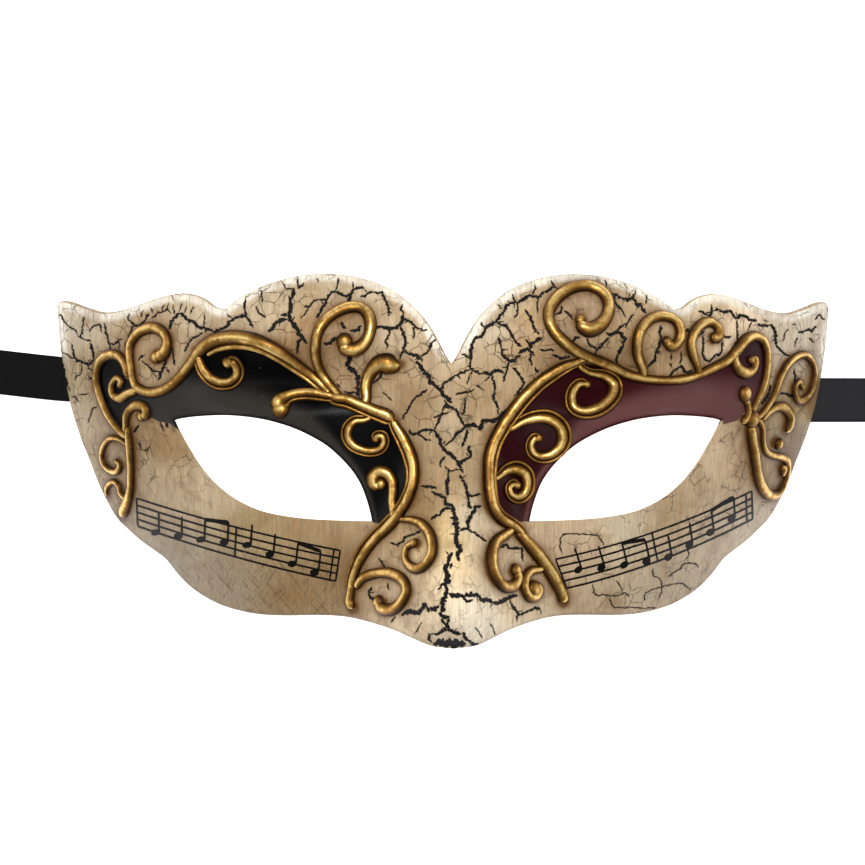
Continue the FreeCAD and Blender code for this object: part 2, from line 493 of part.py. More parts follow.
def stave(ends):
    """Five thin parallel ink lines with a slight sag."""
    lines = []
    for k in range(5):
        f = k / 4.0
        a = [ends[0][c] + f * (ends[2][c] - ends[0][c]) for c in (0, 1)]
        b = [ends[1][c] + f * (ends[3][c] - ends[1][c]) for c in (0, 1)]
        row = []
        for j in range(7):
            g = j / 6.0
            row.append((a[0] + g * (b[0] - a[0]), a[1] + g * (b[1] - a[1]) - 2.2 * math.sin(math.pi * g)))
        lines.append(strip(row, 0.45, INK_T, FILM_LIFT))
    return Part.makeCompound(lines)


def ribbon_y(side):
    """Middle of the ribbon where it leaves the wing."""
    return 21.0 if side < 0 else 15.8


def ribbon_end(side):
    """Where the flat run stops and the twist begins, from the middle of the mask."""
    return 134.0 if side < 0 else 130.0


def ribbon(side):
    """Flat tie ribbon, glued up the inside of the wing, then out along the table."""
    y0 = ribbon_y(side)
    rise = 0.115 if side < 0 else 0.0
    low = []
    high = []
    wall = smooth(HALF_WIDTH, y0)
    lean = (smooth(HALF_WIDTH, y0 + 3) - smooth(HALF_WIDTH, y0 - 3)) / 6.0
    for z in (17.0, 13.5, 10.0, 7.0, 4.8):
        row_low = []
        row_high = []
        for k in (-0.5, 0.5):
            y = y0 + k * RIBBON_W
            a = inner_reach(y, z)
            row_high.append(Vector(side * (a - 0.7), y, z))
            row_low.append(Vector(side * (a - 0.7 - 1.3 * RIBBON_T), y, z - 0.1))
        low.append(row_low)
        high.append(row_high)
    flat_end = ribbon_end(side) - wall
    for d, z in ((-4.6, 2.0), (-2.4, 0.7), (0.6, 0.1), (4.0, 0.02), (8.0, 0.02), (flat_end, 0.02)):
        row_low = []
        row_high = []
        for k in (-0.5, 0.5):
            blend = min(max((d + 4.6) / 8.6, 0.0), 1.0)
            edge = wall + k * RIBBON_W * lean * (1.0 - blend)
            y = y0 + k * RIBBON_W + rise * max(d, 0.0)
            row_high.append(Vector(side * (edge + d), y, z + RIBBON_T))
            row_low.append(Vector(side * (edge + d), y, z))
        low.append(row_low)
        high.append(row_high)
    return ribbon_solid(low, high)


def inner_reach(y, z):
    """How far out the inside of the wing is at this height."""
    a = smooth(HALF_WIDTH, y)
    for turn in range(60):
        p = face_point(a, y, -SHELL_T)
        a += 0.5 * (p.z - z) / 1.6
    return face_point(a, y, -SHELL_T).x


def ribbon_patch(side):
    """Cloth patch glued over the end of the ribbon."""
    y0 = ribbon_y(side)
    low = []
    high = []
    for z in (19.5, 15.5, 11.5, 7.5):
        row_low = []
        row_high = []
        for k in (-8.0, 8.0):
            a = inner_reach(y0 + k, z)
            row_high.append(Vector(side * (a - 1.5), y0 + k, z))
            row_low.append(Vector(side * (a - 2.3), y0 + k, z - 0.4))
        low.append(row_low)
        high.append(row_high)
    return ribbon_solid(low, high)


def ribbon_notch(side):
    """Room under the wing's edge for the ribbon."""
    block = Part.makeBox(14.0, RIBBON_W + 1.6, 2.2, Vector(-7.0, -0.5 * RIBBON_W - 0.8, -0.01))
    block.translate(Vector(side * 98.5, ribbon_y(side), 0))
    return block


def ribbon_coil(side):
    """Outer shape of the twist and the loose coil at the ribbon's free end."""
    wall = smooth(HALF_WIDTH, ribbon_y(side))
    y = ribbon_y(side) + (0.115 if side < 0 else 0.0) * (ribbon_end(side) - wall)
    start = ribbon_end(side)
    middle = start + 20.0
    disc = Part.makeCylinder(COIL_R, COIL_H, Vector(side * middle, y - COIL_R, 0))
    corner = Vector(min(side * middle, side * start), y - 0.5 * RIBBON_W, 0)
    lead = Part.makeBox(middle - start, RIBBON_W, COIL_H, corner)
    return disc.fuse(lead).removeSplitter().Solids[0]


def build():
    pieces = {}
    shell = slab(-SHELL_T, 0.0).common(outline_prism())
    shell = shell.cut(eye_prism(1)).cut(eye_prism(-1))
    shell = shell.cut(ribbon_notch(1)).cut(ribbon_notch(-1))
    pieces["mask_shell"] = shell
    sheet = slab(FILM_LIFT, FILM_LIFT + FILM_T)
    pieces["left_black_lacquer"] = panel(BLACK_PANEL, -1, sheet)
    pieces["right_wine_lacquer"] = panel(WINE_PANEL, 1, sheet)
    pieces["left_music_stave"] = stave(LEFT_STAVE)
    pieces["right_music_stave"] = stave(RIGHT_STAVE)
    for name, path in BEADS.items():
        pieces[name] = bead(path)
    for name, spec in KNOBS.items():
        pieces[name] = knob(*spec)
    pieces["right_drop_tongue"] = bead(TONGUE, 0.7)
    for side, word in ((-1, "left"), (1, "right")):
        pieces[word + "_ribbon"] = ribbon(side)
        pieces[word + "_ribbon_patch"] = ribbon_patch(side)
        pieces[word + "_ribbon_coil"] = ribbon_coil(side)
    return pieces


os.makedirs("parts", exist_ok=True)
for name, shape in build().items():
    shape.translate(Vector(0, SHIFT_Y, 0))
    shape.exportStep("parts/" + name + ".step")
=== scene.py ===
"""Looks of a Venetian half mask: crackled paper shell, gilt relief, lacquer, ink staves and ribbons."""
import math

import bpy
import numpy as np
from mathutils import Matrix, Vector, kdtree
from mathutils.geometry import delaunay_2d_cdt


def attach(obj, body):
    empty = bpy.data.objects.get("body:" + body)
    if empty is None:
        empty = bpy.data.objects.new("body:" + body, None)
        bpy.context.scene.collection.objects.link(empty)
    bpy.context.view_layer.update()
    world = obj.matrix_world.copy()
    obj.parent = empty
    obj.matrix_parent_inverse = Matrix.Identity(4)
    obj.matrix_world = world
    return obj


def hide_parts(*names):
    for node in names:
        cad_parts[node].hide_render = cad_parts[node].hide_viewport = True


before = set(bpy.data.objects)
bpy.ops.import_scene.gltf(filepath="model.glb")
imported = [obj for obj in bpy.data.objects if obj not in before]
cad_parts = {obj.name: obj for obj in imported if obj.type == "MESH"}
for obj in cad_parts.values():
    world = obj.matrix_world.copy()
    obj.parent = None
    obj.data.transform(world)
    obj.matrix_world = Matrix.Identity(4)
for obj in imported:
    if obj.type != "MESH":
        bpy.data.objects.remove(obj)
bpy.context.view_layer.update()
rng = np.random.default_rng(7)
MM = 0.001

# ---------------------------------------------------------------- the face, as in the CAD (millimetres)
TOP_Y = 46.6
BOTTOM_Y = -45.6
SHIFT_Y = -0.5 * (TOP_Y + BOTTOM_Y)
SIGHT_D = 1000.0
SIGHT_X = -34.0
SHELL_T = 2.0
BEAD_LIFT = 0.32
RIM_R = 1.0
HALF_WIDTH = [(-54, 59.0), (-46, 64.5), (-38, 69.5), (-30, 74.6), (-22, 79.8), (-16, 83.7),
              (-12.7, 86.0), (-5.9, 89.4), (0, 91.7), (7.5, 94.6), (15.8, 97.0), (28.7, 99.2),
              (40, 100.2), (54, 101.0)]
DEPTH = [(-54, 38.0), (-40, 42.0), (-28, 45.5), (-14, 48.0), (0, 50.0), (20, 52.0), (34, 50.0),
         (46, 46.0), (54, 42.0)]
NOSE_OUT = [(-54, 21.0), (-47, 26.0), (-43, 30.5), (-38, 33.0), (-32, 31.0), (-22, 24.0), (-10, 15.5),
            (0, 9.5), (10, 5.5), (22, 3.0), (34, 1.5), (54, 0.5)]
NOSE_WIDE = [(-54, 17.0), (-38, 15.5), (-25, 13.0), (-10, 10.5), (2, 9.5), (14, 12.0), (30, 18.0),
             (54, 24.0)]


def hermite(points, per_span):
    """Soft curve through rows of numbers, with per_span steps between neighbours."""
    p = np.array(points, float)
    m = np.gradient(p, axis=0)
    f = (np.arange(per_span) / per_span)[:, None]
    out = []
    for i in range(len(p) - 1):
        h00 = 2 * f ** 3 - 3 * f ** 2 + 1
        h10 = f ** 3 - 2 * f ** 2 + f
        out.append(h00 * p[i] + h10 * m[i] + (1 - h00) * p[i + 1] + (f ** 3 - f ** 2) * m[i + 1])
    out.append(p[-1:])
    return np.vstack(out)


def lookup(table):
    """A finely sampled copy of a (t, value) table, on the cubic that the CAD uses."""
    t = np.array([row[0] for row in table], float)
    v = np.array([row[1] for row in table], float)
    slope = np.empty(len(t))
    slope[1:-1] = (v[2:] - v[:-2]) / (t[2:] - t[:-2])
    slope[0] = (v[1] - v[0]) / (t[1] - t[0])
    slope[-1] = (v[-1] - v[-2]) / (t[-1] - t[-2])
    fine = np.linspace(t[0], t[-1], 2001)
    i = np.clip(np.searchsorted(t, fine, side="right") - 1, 0, len(t) - 2)
    d = t[i + 1] - t[i]
    f = (fine - t[i]) / d
    h00 = 2 * f ** 3 - 3 * f ** 2 + 1
    value = h00 * v[i] + (f ** 3 - 2 * f ** 2 + f) * slope[i] * d
    value += (1 - h00) * v[i + 1] + (f ** 3 - f ** 2) * slope[i + 1] * d
    return fine, value


FINE = {name: lookup(table) for name, table in
        (("half", HALF_WIDTH), ("depth", DEPTH), ("out", NOSE_OUT), ("wide", NOSE_WIDE))}


def at(name, y):
    return np.interp(y, *FINE[name])


def bump(d, width):
    return np.exp(-(d / width) ** 2)


def height(x, y):
    a = np.sqrt(x * x + 0.04)
    s = a / at("half", y)
    base = at("depth", y) * (1.0 - s ** 3)
    nose = at("out", y) / np.cosh(a / at("wide", y)) ** 2
    ridge = 5.0 * bump(y - 31.0 + 0.05 * (a - 36.0), 8.0) * bump(a - 34.0, 26.0)
    socket = -4.5 * bump(y - 21.0, 7.0) * bump(a - 42.0, 22.0)
    lid = 2.0 * bump(y - 11.5, 5.0) * bump(a - 46.0, 24.0)
    cheek = 3.0 * bump(y + 24.0, 11.0) * bump(a - 50.0, 20.0)
    fold = -3.0 * bump(y + 36.0, 14.0) * bump(a - 29.0, 9.0)
    return base + nose + (ridge + socket + lid + cheek + fold) * np.maximum(0.0, 1.0 - s ** 4)


def unit(v):
    return v / np.maximum(np.linalg.norm(v, axis=-1, keepdims=True), 1e-12)


def normal(x, y):
    e = 0.05
    dx = (height(x + e, y) - height(x - e, y)) / (2 * e)
    dy = (height(x, y + e) - height(x, y - e)) / (2 * e)
    return unit(np.stack([-dx, -dy, np.ones_like(dx)], -1))


def face_point(x, y, out=0.0):
    p = np.stack([x, y, height(x, y)], -1)
    return p + normal(x, y) * np.broadcast_to(np.asarray(out, float), x.shape)[..., None]


def onto_face(u, v):
    """Plan position of points of the flat ornament drawing, seen from the sight point."""
    x = np.array(u, float)
    y = np.array(v, float)
    for turn in range(14):
        k = 1.0 - height(x, y) / SIGHT_D
        x = SIGHT_X + (u - SIGHT_X) * k
        y = v * k
    return x, y


def onto_drawing(p):
    """Flat drawing position of points in space."""
    k = 1.0 - p[..., 2] / SIGHT_D
    return SIGHT_X + (p[..., 0] - SIGHT_X) / k, p[..., 1] / k


def srgb(*rgb):
    c = np.array(rgb, float) / 255.0
    return np.where(c <= 0.04045, c / 12.92, ((c + 0.055) / 1.055) ** 2.4)


def ramp01(x, low, high):
    t = np.clip((x - low) / (high - low), 0.0, 1.0)
    return t * t * (3 - 2 * t)


# ---------------------------------------------------------------- camera, light and floor
LOOK_AT = Vector((-2.97, 6.86, 0.0)) * MM
EYE = Vector((-34.0, -0.5, 1000.0)) * MM
PICTURE_WIDTH = 0.2235
SENSOR = 36.0


def aim(obj, target):
    forward = (target - obj.location).normalized()
    right = forward.cross(Vector((0, 1, 0))).normalized()
    up = right.cross(forward)
    turned = Matrix((right, up, -forward)).transposed().to_4x4()
    obj.matrix_world = Matrix.Translation(obj.location) @ turned


def make_camera():
    data = bpy.data.cameras.new("camera")
    data.sensor_width = SENSOR
    data.lens = SENSOR / PICTURE_WIDTH
    data.clip_start = 0.05
    data.clip_end = 20.0
    camera = bpy.data.objects.new("camera", data)
    bpy.context.scene.collection.objects.link(camera)
    camera.location = EYE
    aim(camera, LOOK_AT)
    bpy.context.scene.camera = camera


def area_light(name, place, size, power, target=(0, 0, 0)):
    data = bpy.data.lights.new(name, "AREA")
    data.shape = "RECTANGLE"
    data.size = size[0]
    data.size_y = size[1]
    data.energy = power
    light = bpy.data.objects.new(name, data)
    bpy.context.scene.collection.objects.link(light)
    light.location = place
    aim(light, Vector(target))
    return light


def make_stage():
    world = bpy.data.worlds.new("studio")
    bpy.context.scene.world = world
    world.use_nodes = True
    back = world.node_tree.nodes["Background"]
    back.inputs["Color"].default_value = (1.0, 1.0, 1.0, 1.0)
    back.inputs["Strength"].default_value = 0.16
    area_light("key", (-0.06, 0.36, 1.10), (0.36, 0.24), 10.4)
    area_light("fill", (0.15, -0.55, 1.25), (0.7, 0.4), 2.2)
    area_light("side_left", (-0.95, 0.15, 0.55), (0.3, 0.5), 1.2)
    area_light("side_right", (0.95, 0.15, 0.55), (0.3, 0.5), 1.2)
    bpy.ops.mesh.primitive_plane_add(size=6.0, location=(0, 0, -0.0004))
    floor = bpy.context.object
    floor.name = "floor"
    mat = bpy.data.materials.new("floor_white")
    mat.use_nodes = True
    tree = mat.node_tree
    shader = tree.nodes["Principled BSDF"]
    shader.inputs["Base Color"].default_value = (0.8, 0.8, 0.8, 1)
    shader.inputs["Roughness"].default_value = 0.9
    shader.inputs["Emission Color"].default_value = (1, 1, 1, 1)
    shader.inputs["Emission Strength"].default_value = 1.0
    clear = tree.nodes.new("ShaderNodeBsdfTransparent")
    geometry = tree.nodes.new("ShaderNodeNewGeometry")
    mix = tree.nodes.new("ShaderNodeMixShader")
    tree.links.new(geometry.outputs["Backfacing"], mix.inputs[0])
    tree.links.new(shader.outputs[0], mix.inputs[1])
    tree.links.new(clear.outputs[0], mix.inputs[2])
    tree.links.new(mix.outputs[0], tree.nodes["Material Output"].inputs["Surface"])
    floor.data.materials.append(mat)
    bpy.context.scene.view_settings.view_transform = "Standard"


make_camera()
make_stage()


# ---------------------------------------------------------------- material helpers
class Paint:
    """A Principled material with short ways to add nodes."""

    def __init__(self, name, **sockets):
        self.mat = bpy.data.materials.new(name)
        self.mat.use_nodes = True
        self.tree = self.mat.node_tree
        self.shader = self.tree.nodes["Principled BSDF"]
        for key, value in sockets.items():
            self.shader.inputs[key.replace("_", " ")].default_value = value
        self.place = self.node("ShaderNodeTexCoord").outputs["Object"]

    def node(self, kind, **settings):
        made = self.tree.nodes.new(kind)
        for key, value in settings.items():
            setattr(made, key, value)
        return made

    def feed(self, socket, value):
        if isinstance(value, bpy.types.NodeSocket):
            self.tree.links.new(value, socket)
        else:
            socket.default_value = value

    def math(self, how, a, b=0.0, c=0.0, clamp=False):
        made = self.node("ShaderNodeMath", operation=how, use_clamp=clamp)
        for socket, value in zip(made.inputs, (a, b, c)):
            self.feed(socket, value)
        return made.outputs[0]

    def span(self, value, low, high, out_low=0.0, out_high=1.0, soft=True):
        made = self.node("ShaderNodeMapRange")
        made.interpolation_type = "SMOOTHSTEP" if soft else "LINEAR"
        for key, item in zip(("Value", "From Min", "From Max", "To Min", "To Max"),
                             (value, low, high, out_low, out_high)):
            self.feed(made.inputs[key], item)
        return made.outputs["Result"]

    def stretch(self, sx, sy, sz, turn=0.0):
        made = self.node("ShaderNodeMapping", vector_type="TEXTURE")
        self.feed(made.inputs["Vector"], self.place)
        made.inputs["Scale"].default_value = (1 / sx, 1 / sy, 1 / sz)
        made.inputs["Rotation"].default_value = (0, 0, turn)
        return made.outputs["Vector"]

    def noise(self, vector, scale=1.0, detail=4.0, rough=0.55, warp=0.0):
        made = self.node("ShaderNodeTexNoise")
        self.feed(made.inputs["Vector"], vector)
        made.inputs["Scale"].default_value = scale
        made.inputs["Detail"].default_value = detail
        made.inputs["Roughness"].default_value = rough
        made.inputs["Distortion"].default_value = warp
        return made.outputs["Fac"]

    def cells(self, vector, scale, feature="DISTANCE_TO_EDGE"):
        made = self.node("ShaderNodeTexVoronoi", feature=feature)
        self.feed(made.inputs["Vector"], vector)
        made.inputs["Scale"].default_value = scale
        return made.outputs["Distance"]

    def value(self, name):
        return self.node("ShaderNodeAttribute", attribute_name=name).outputs["Fac"]

    def colour(self, name):
        return self.node("ShaderNodeAttribute", attribute_name=name).outputs["Color"]

    def mix(self, factor, a, b, how="MIX"):
        made = self.node("ShaderNodeMix", data_type="RGBA", blend_type=how)
        self.feed(made.inputs[0], factor)
        for socket, item in ((made.inputs[6], a), (made.inputs[7], b)):
            self.feed(socket, item if isinstance(item, bpy.types.NodeSocket) else (*item, 1.0))
        return made.outputs[2]

    def steps(self, factor, *stops):
        made = self.node("ShaderNodeValToRGB")
        ramp = made.color_ramp
        while len(ramp.elements) < len(stops):
            ramp.elements.new(0.5)
        for element, (position, colour) in zip(ramp.elements, stops):
            element.position = position
            element.color = (*colour, 1.0)
        self.feed(made.inputs[0], factor)
        return made.outputs["Color"]

    def bumps(self, height_mm, strength=1.0, after=None):
        made = self.node("ShaderNodeBump")
        made.inputs["Strength"].default_value = strength
        made.inputs["Distance"].default_value = MM
        self.feed(made.inputs["Height"], height_mm)
        if after is not None:
            self.feed(made.inputs["Normal"], after)
        return made.outputs["Normal"]

    def done(self, **sockets):
        for key, value in sockets.items():
            self.feed(self.shader.inputs[key.replace("_", " ")], value)
        return self.mat


def new_piece(name, points, faces, nodes, materials,
              values=None, colours=None, picks=None, crease=None):
    """A mesh object from points in millimetres, on the root body, in place of CAD nodes."""
    mesh = bpy.data.meshes.new(name)
    xyz = np.array(points, float)
    xyz[:, 1] += SHIFT_Y
    mesh.from_pydata((xyz * MM).tolist(), [], faces if isinstance(faces, list) else faces.tolist())
    for key, data in (values or {}).items():
        layer = mesh.attributes.new(key, "FLOAT", "POINT")
        layer.data.foreach_set("value", np.asarray(data, np.float32))
    for key, data in (colours or {}).items():
        rgba = np.ones((len(xyz), 4), np.float32)
        rgba[:, :3] = data
        mesh.attributes.new(key, "FLOAT_COLOR", "POINT").data.foreach_set("color", rgba.ravel())
    mesh.polygons.foreach_set("use_smooth", np.ones(len(mesh.polygons), bool))
    if picks is not None:
        mesh.polygons.foreach_set("material_index", np.asarray(picks, np.int32))
    if crease is not None:
        mesh.set_sharp_from_angle(angle=math.radians(crease))
    for item in materials:
        mesh.materials.append(item)
    mesh.update()
    piece = bpy.data.objects.new(name, mesh)
    bpy.context.scene.collection.objects.link(piece)
    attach(piece, "root")
    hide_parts(*nodes)
    return piece


# ---------------------------------------------------------------- ribbons
RIBBON_W = 11.5
# by side, -1 left and 1 right: how far up the ribbon leaves, where its flat stretch ends, its exit
RIBBON_Y = {-1: 21.0, 1: 15.8}
RIBBON_END = {-1: 134.0, 1: 130.0}
RIBBON_LEAN = {-1: 0.15, 1: 0.21}
# by side: the left ribbon's black is set darker than the right one's, painted shade, the two ribbons being
# of one cloth
RIBBON_SHADED_BLACK = {-1: (0.0022, 0.0022, 0.0024), 1: (0.017, 0.017, 0.019)}
STAND_RUN = 19.0                         # how much of the way the ribbon takes to stand on its edge
RIBBON_T = 0.3
COIL_R = 37.0
COIL_TURNS = 2.0
COIL_PITCH = 5.6
PER_TURN = 16


def ribbon_route(side):
    """Points of one ribbon, then its coil turns: (x, y, z) in millimetres."""
    y0 = RIBBON_Y[side]
    end = RIBBON_END[side]
    if side < 0:
        y1 = 25.1
        points = [(82.3, y0, 17.0), (86.3, y0, 12.0), (89.7, y0, 7.4), (92.5, y0, 3.4), (94.6, y0, 0.9),
                  (97.6, y0, 0.2), (106.0, y0 + 0.9, 0.2), (118.0, y0 + 2.3, 0.2), (end, y1, 0.2)]
    else:
        y1 = y0
        points = [(81.4, y0, 17.0), (85.3, y0, 12.0), (88.7, y0, 7.4), (91.5, y0, 3.4), (93.6, y0, 0.9),
                  (96.6, y0, 0.2), (105.0, y0, 0.2), (117.0, y0, 0.2), (end, y1, 0.2)]
    lift = 0.5 * RIBBON_W + 0.1
    points += [(end + 5.0, y1, 0.9), (end + 10.0, y1, 2.6), (end + 15.0, y1, 4.7),
               (end + STAND_RUN, y1, lift)]
    count = int(COIL_TURNS * PER_TURN)
    for k in range(1, count + 1):
        turn = 2 * math.pi * k / PER_TURN
        r = COIL_R - 0.6 - COIL_PITCH * k / PER_TURN
        points.append((end + 20.0 + r * math.sin(turn), y1 - COIL_R + r * math.cos(turn), lift))
    return [(side * x, y, z) for x, y, z in points]


def smooth_route(name, route):
    """Points read from the NURBS curve of a route."""
    data = bpy.data.curves.new(name, "CURVE")
    data.dimensions = "3D"
    data.resolution_u = 8
    spline = data.splines.new("NURBS")
    spline.points.add(len(route) - 1)
    for point, (x, y, z) in zip(spline.points, route):
        point.co = (x * MM, (y + SHIFT_Y) * MM, z * MM, 1.0)
    spline.order_u = 3
    spline.use_endpoint_u = True
    guide = bpy.data.objects.new(name, data)
    bpy.context.scene.collection.objects.link(guide)
    mesh = bpy.data.meshes.new_from_object(guide)
    line = np.array([v.co[:] for v in mesh.vertices])
    bpy.data.objects.remove(guide)
    bpy.data.meshes.remove(mesh)
    return line


def ribbon_paint(name, black):
    paint = Paint(name, Roughness=0.7, Sheen_Weight=0.05, Sheen_Roughness=0.4, Specular_IOR_Level=0.12)
    paint.shader.inputs["Sheen Tint"].default_value = (0.5, 0.5, 0.5, 1)
    along = paint.value("along")
    across = paint.value("across")
    rib = paint.math("SINE", paint.math("MULTIPLY", along, 2 * math.pi / 0.55))
    thread = paint.math("SINE", paint.math("MULTIPLY", across, 2 * math.pi / 0.32))
    weave = paint.math("MULTIPLY_ADD", thread, 0.3, rib)
    fuzz = paint.noise(paint.stretch(1, 1, 1), 2600.0, 3.0)
    cloud = paint.noise(paint.stretch(1, 1, 1), 120.0, 3.0)
    shade = paint.math("MULTIPLY_ADD", weave, 0.16, paint.math("MULTIPLY_ADD", cloud, 0.5, 0.25))
    base = paint.mix(paint.math("ADD", shade, paint.math("MULTIPLY", fuzz, 0.3), clamp=True),
                     [c * 0.45 for c in black], [c * 1.7 for c in black])
    selvedge = paint.span(paint.math("ABSOLUTE", across), 0.5 * RIBBON_W - 0.9, 0.5 * RIBBON_W - 0.5)
    base = paint.mix(paint.math("MULTIPLY", selvedge, 0.5), base, [c * 0.4 for c in black])
    relief = paint.math("MULTIPLY_ADD", weave, 0.035, paint.math("MULTIPLY", fuzz, 0.05))
    return paint.done(Base_Color=base, Normal=paint.bumps(relief, 0.9))


def make_ribbon(side):
    word = "left" if side < 0 else "right"
    route = ribbon_route(side)
    line = smooth_route(word + "_guide", route)
    step = np.linalg.norm(np.diff(line, axis=0), axis=1)
    keep = np.concatenate([[True], step > 1e-7])
    line = line[keep]
    run = np.concatenate([[0], np.cumsum(np.linalg.norm(np.diff(line, axis=0), axis=1))])
    length = run[-1]
    stations = np.linspace(0, length, int(length / 0.0011))
    path = np.stack([np.interp(stations, run, line[:, c]) for c in range(3)], -1)
    ahead = unit(np.gradient(path, axis=0))
    start = RIBBON_END[side]
    turn = ramp01(side * path[:, 0] / MM, start - 1.0, start + 19.5)
    beyond = np.arange(len(path)) > np.argmax(side * path[:, 0] / MM > start + STAND_RUN)
    turn = np.where(beyond & (np.max(side * path[:, 0] / MM) > start), 1.0, turn)
    lean = RIBBON_LEAN[side] * (1 - ramp01(side * path[:, 0] / MM, 92.0, 97.0))
    flat = np.stack([side * lean, np.ones(len(path)), np.zeros(len(path))], -1)
    flat = unit(flat - ahead * np.sum(flat * ahead, axis=1, keepdims=True))
    stand = np.tile([0.0, 0.0, -1.0], (len(path), 1))
    stand = unit(stand - ahead * np.sum(stand * ahead, axis=1, keepdims=True))
    angle = (turn * 0.5 * math.pi)[:, None]
    wide = unit(flat * np.cos(angle) + stand * np.sin(angle))
    thick = unit(np.cross(ahead, wide))
    columns = np.linspace(-1, 1, 13)
    picot = 0.11 * np.abs(np.sin(stations / MM * math.pi / 1.1))
    points = []
    along = []
    across = []
    n_col = len(columns)
    for half in (1, -1):
        for q in columns if half > 0 else columns[::-1]:
            w = q * (0.5 * RIBBON_W - (picot if abs(q) > 0.99 else 0.0))
            swell = 0.5 * RIBBON_T * (1.0 - 0.35 * abs(q) ** 6)
            reach = np.broadcast_to(w, stations.shape)[:, None]
            points.append(path / MM + wide * reach + thick * half * swell)
            along.append(stations / MM)
            across.append(np.full(len(stations), q * 0.5 * RIBBON_W))
    ring = 2 * n_col
    grid = np.stack(points, 1)
    grid[..., 1] -= SHIFT_Y
    flatten = (grid[..., 2] < 0.03)
    grid[..., 2] = np.where(flatten, 0.03, grid[..., 2])
    rows = len(stations)
    index = np.arange(rows * ring).reshape(rows, ring)
    beside = np.roll(index, -1, 1)
    quads = np.stack([index[:-1], beside[:-1], beside[1:], index[1:]], -1).reshape(-1, 4)
    faces = quads.tolist()
    for row, order in ((0, -1), (rows - 1, 1)):
        for k in range(n_col - 1):
            cell = index[row, [k, k + 1, ring - 2 - k, ring - 1 - k]]
            faces.append([int(c) for c in cell[::order]])
    piece = new_piece(word + "_tie_ribbon", grid.reshape(-1, 3), faces,
                      [word + "_ribbon", word + "_ribbon_coil"],
                      [ribbon_paint(word + "_grosgrain", RIBBON_SHADED_BLACK[side])],
                      {"along": np.stack(along, 1).ravel(), "across": np.stack(across, 1).ravel()},
                      crease=60)


for side in (-1, 1):
    make_ribbon(side)


# ---------------------------------------------------------------- outlines of the shell (as in the CAD)
BROW = [(0, 24.0), (1.4, 26.2), (2.9, 29.3), (5.4, 33.8), (7.9, 37.0), (12.7, 41.4), (17.6, 44.0),
        (22.6, 45.6), (27.4, 46.4), (32.0, 46.6), (36.9, 46.2), (41.9, 45.1), (47.0, 43.4),
        (52.1, 40.8), (56.2, 37.9)]
HUMP = [(56.2, 37.9), (58.2, 38.6), (60.6, 40.4), (63.4, 41.6), (66.9, 42.1), (71.0, 41.5),
        (76.0, 40.1), (81.5, 38.4), (87.0, 37.8), (92.0, 39.2), (95.9, 40.7), (98.9, 41.2),
        (100.3, 40.2), (101.2, 37.5), (104, 34)]
CHEEK = [(104, -4), (94, -8.5), (88.6, -12.0), (83.7, -16.0), (78.4, -20.6), (74.0, -23.6),
         (71.4, -25.5), (68.3, -29.3), (64.6, -32.8), (59.5, -35.8), (54.4, -37.6), (48.1, -38.7),
         (41.2, -38.9), (33, -38.6), (26.5, -38.7), (21.2, -39.6), (15.3, -41.2), (10.3, -43.2),
         (5.4, -45.0), (0, -45.6)]
EYE_TOP = [(18.3, -15.1), (18.8, -12.4), (19.9, -8.6), (21.6, -4.5), (24.6, -0.3), (29.6, 4.4),
           (35.3, 7.7), (41.0, 10.0), (47.0, 11.5), (54.4, 12.3), (61.4, 12.2), (66.4, 11.7),
           (68.6, 11.2)]
EYE_OUTER = [(68.6, 11.2), (69.2, 10.4), (68.8, 8.8), (67.6, 6.4), (65.6, 2.8), (62.6, -1.8),
             (59.0, -6.0), (54.6, -9.6), (49.6, -12.3), (44.6, -13.9), (37.0, -15.1), (29.0, -15.6),
             (21.0, -15.8), (19.6, -15.8)]
EYE_CORNER = [(19.6, -15.8), (18.5, -15.7), (18.3, -15.1)]


def even(points, step, closed=True):
    """The same polyline with points an even step apart."""
    p = np.array(points, float)
    if closed:
        p = np.vstack([p, p[:1]])
    run = np.concatenate([[0], np.cumsum(np.linalg.norm(np.diff(p, axis=0), axis=1))])
    keep = np.concatenate([[True], np.diff(run) > 1e-9])
    p, run = p[keep], run[keep]
    count = max(3, int(round(run[-1] / step)))
    want = np.linspace(0, run[-1], count + 1)
    if closed:
        want = want[:-1]
    return np.stack([np.interp(want, run, p[:, c]) for c in range(p.shape[1])], -1)


def shell_loops(step):
    wing = [(104, y) for y in np.arange(33.5, -4, -0.5)]
    half = np.vstack([hermite(BROW, 12), hermite(HUMP, 12), wing, hermite(CHEEK, 12)])
    half[:, 0] = np.minimum(half[:, 0], at("half", half[:, 1]))
    outer = np.vstack([half[::-1], (half * (-1, 1))[1:-1]])
    eye = np.vstack([hermite(EYE_TOP, 12), hermite(EYE_OUTER, 12)[1:], hermite(EYE_CORNER, 12)[1:-1]])
    return [even(outer, step), even(eye * (-1, 1), step), even(eye[::-1], step)]


def inside(points, loop):
    """Which plan points lie inside a closed loop."""
    out = np.zeros(len(points), bool)
    ax, ay = loop[:, 0], loop[:, 1]
    bx, by = np.roll(ax, -1), np.roll(ay, -1)
    slope = (bx - ax) / np.where(by == ay, 1e-12, by - ay)
    for start in range(0, len(points), 8000):
        px = points[start:start + 8000, 0:1]
        py = points[start:start + 8000, 1:2]
        cross = ((ay > py) != (by > py)) & (px < slope * (py - ay) + ax)
        out[start:start + 8000] = cross.sum(1) % 2 == 1
    return out


def tree_of(points):
    tree = kdtree.KDTree(len(points))
    for i, p in enumerate(points):
        tree.insert((p[0], p[1], 0.0), i)
    tree.balance()
    return tree


def nearest(tree, points):
    found = [tree.find((p[0], p[1], 0.0)) for p in points]
    return np.array([f[1] for f in found]), np.array([f[2] for f in found])


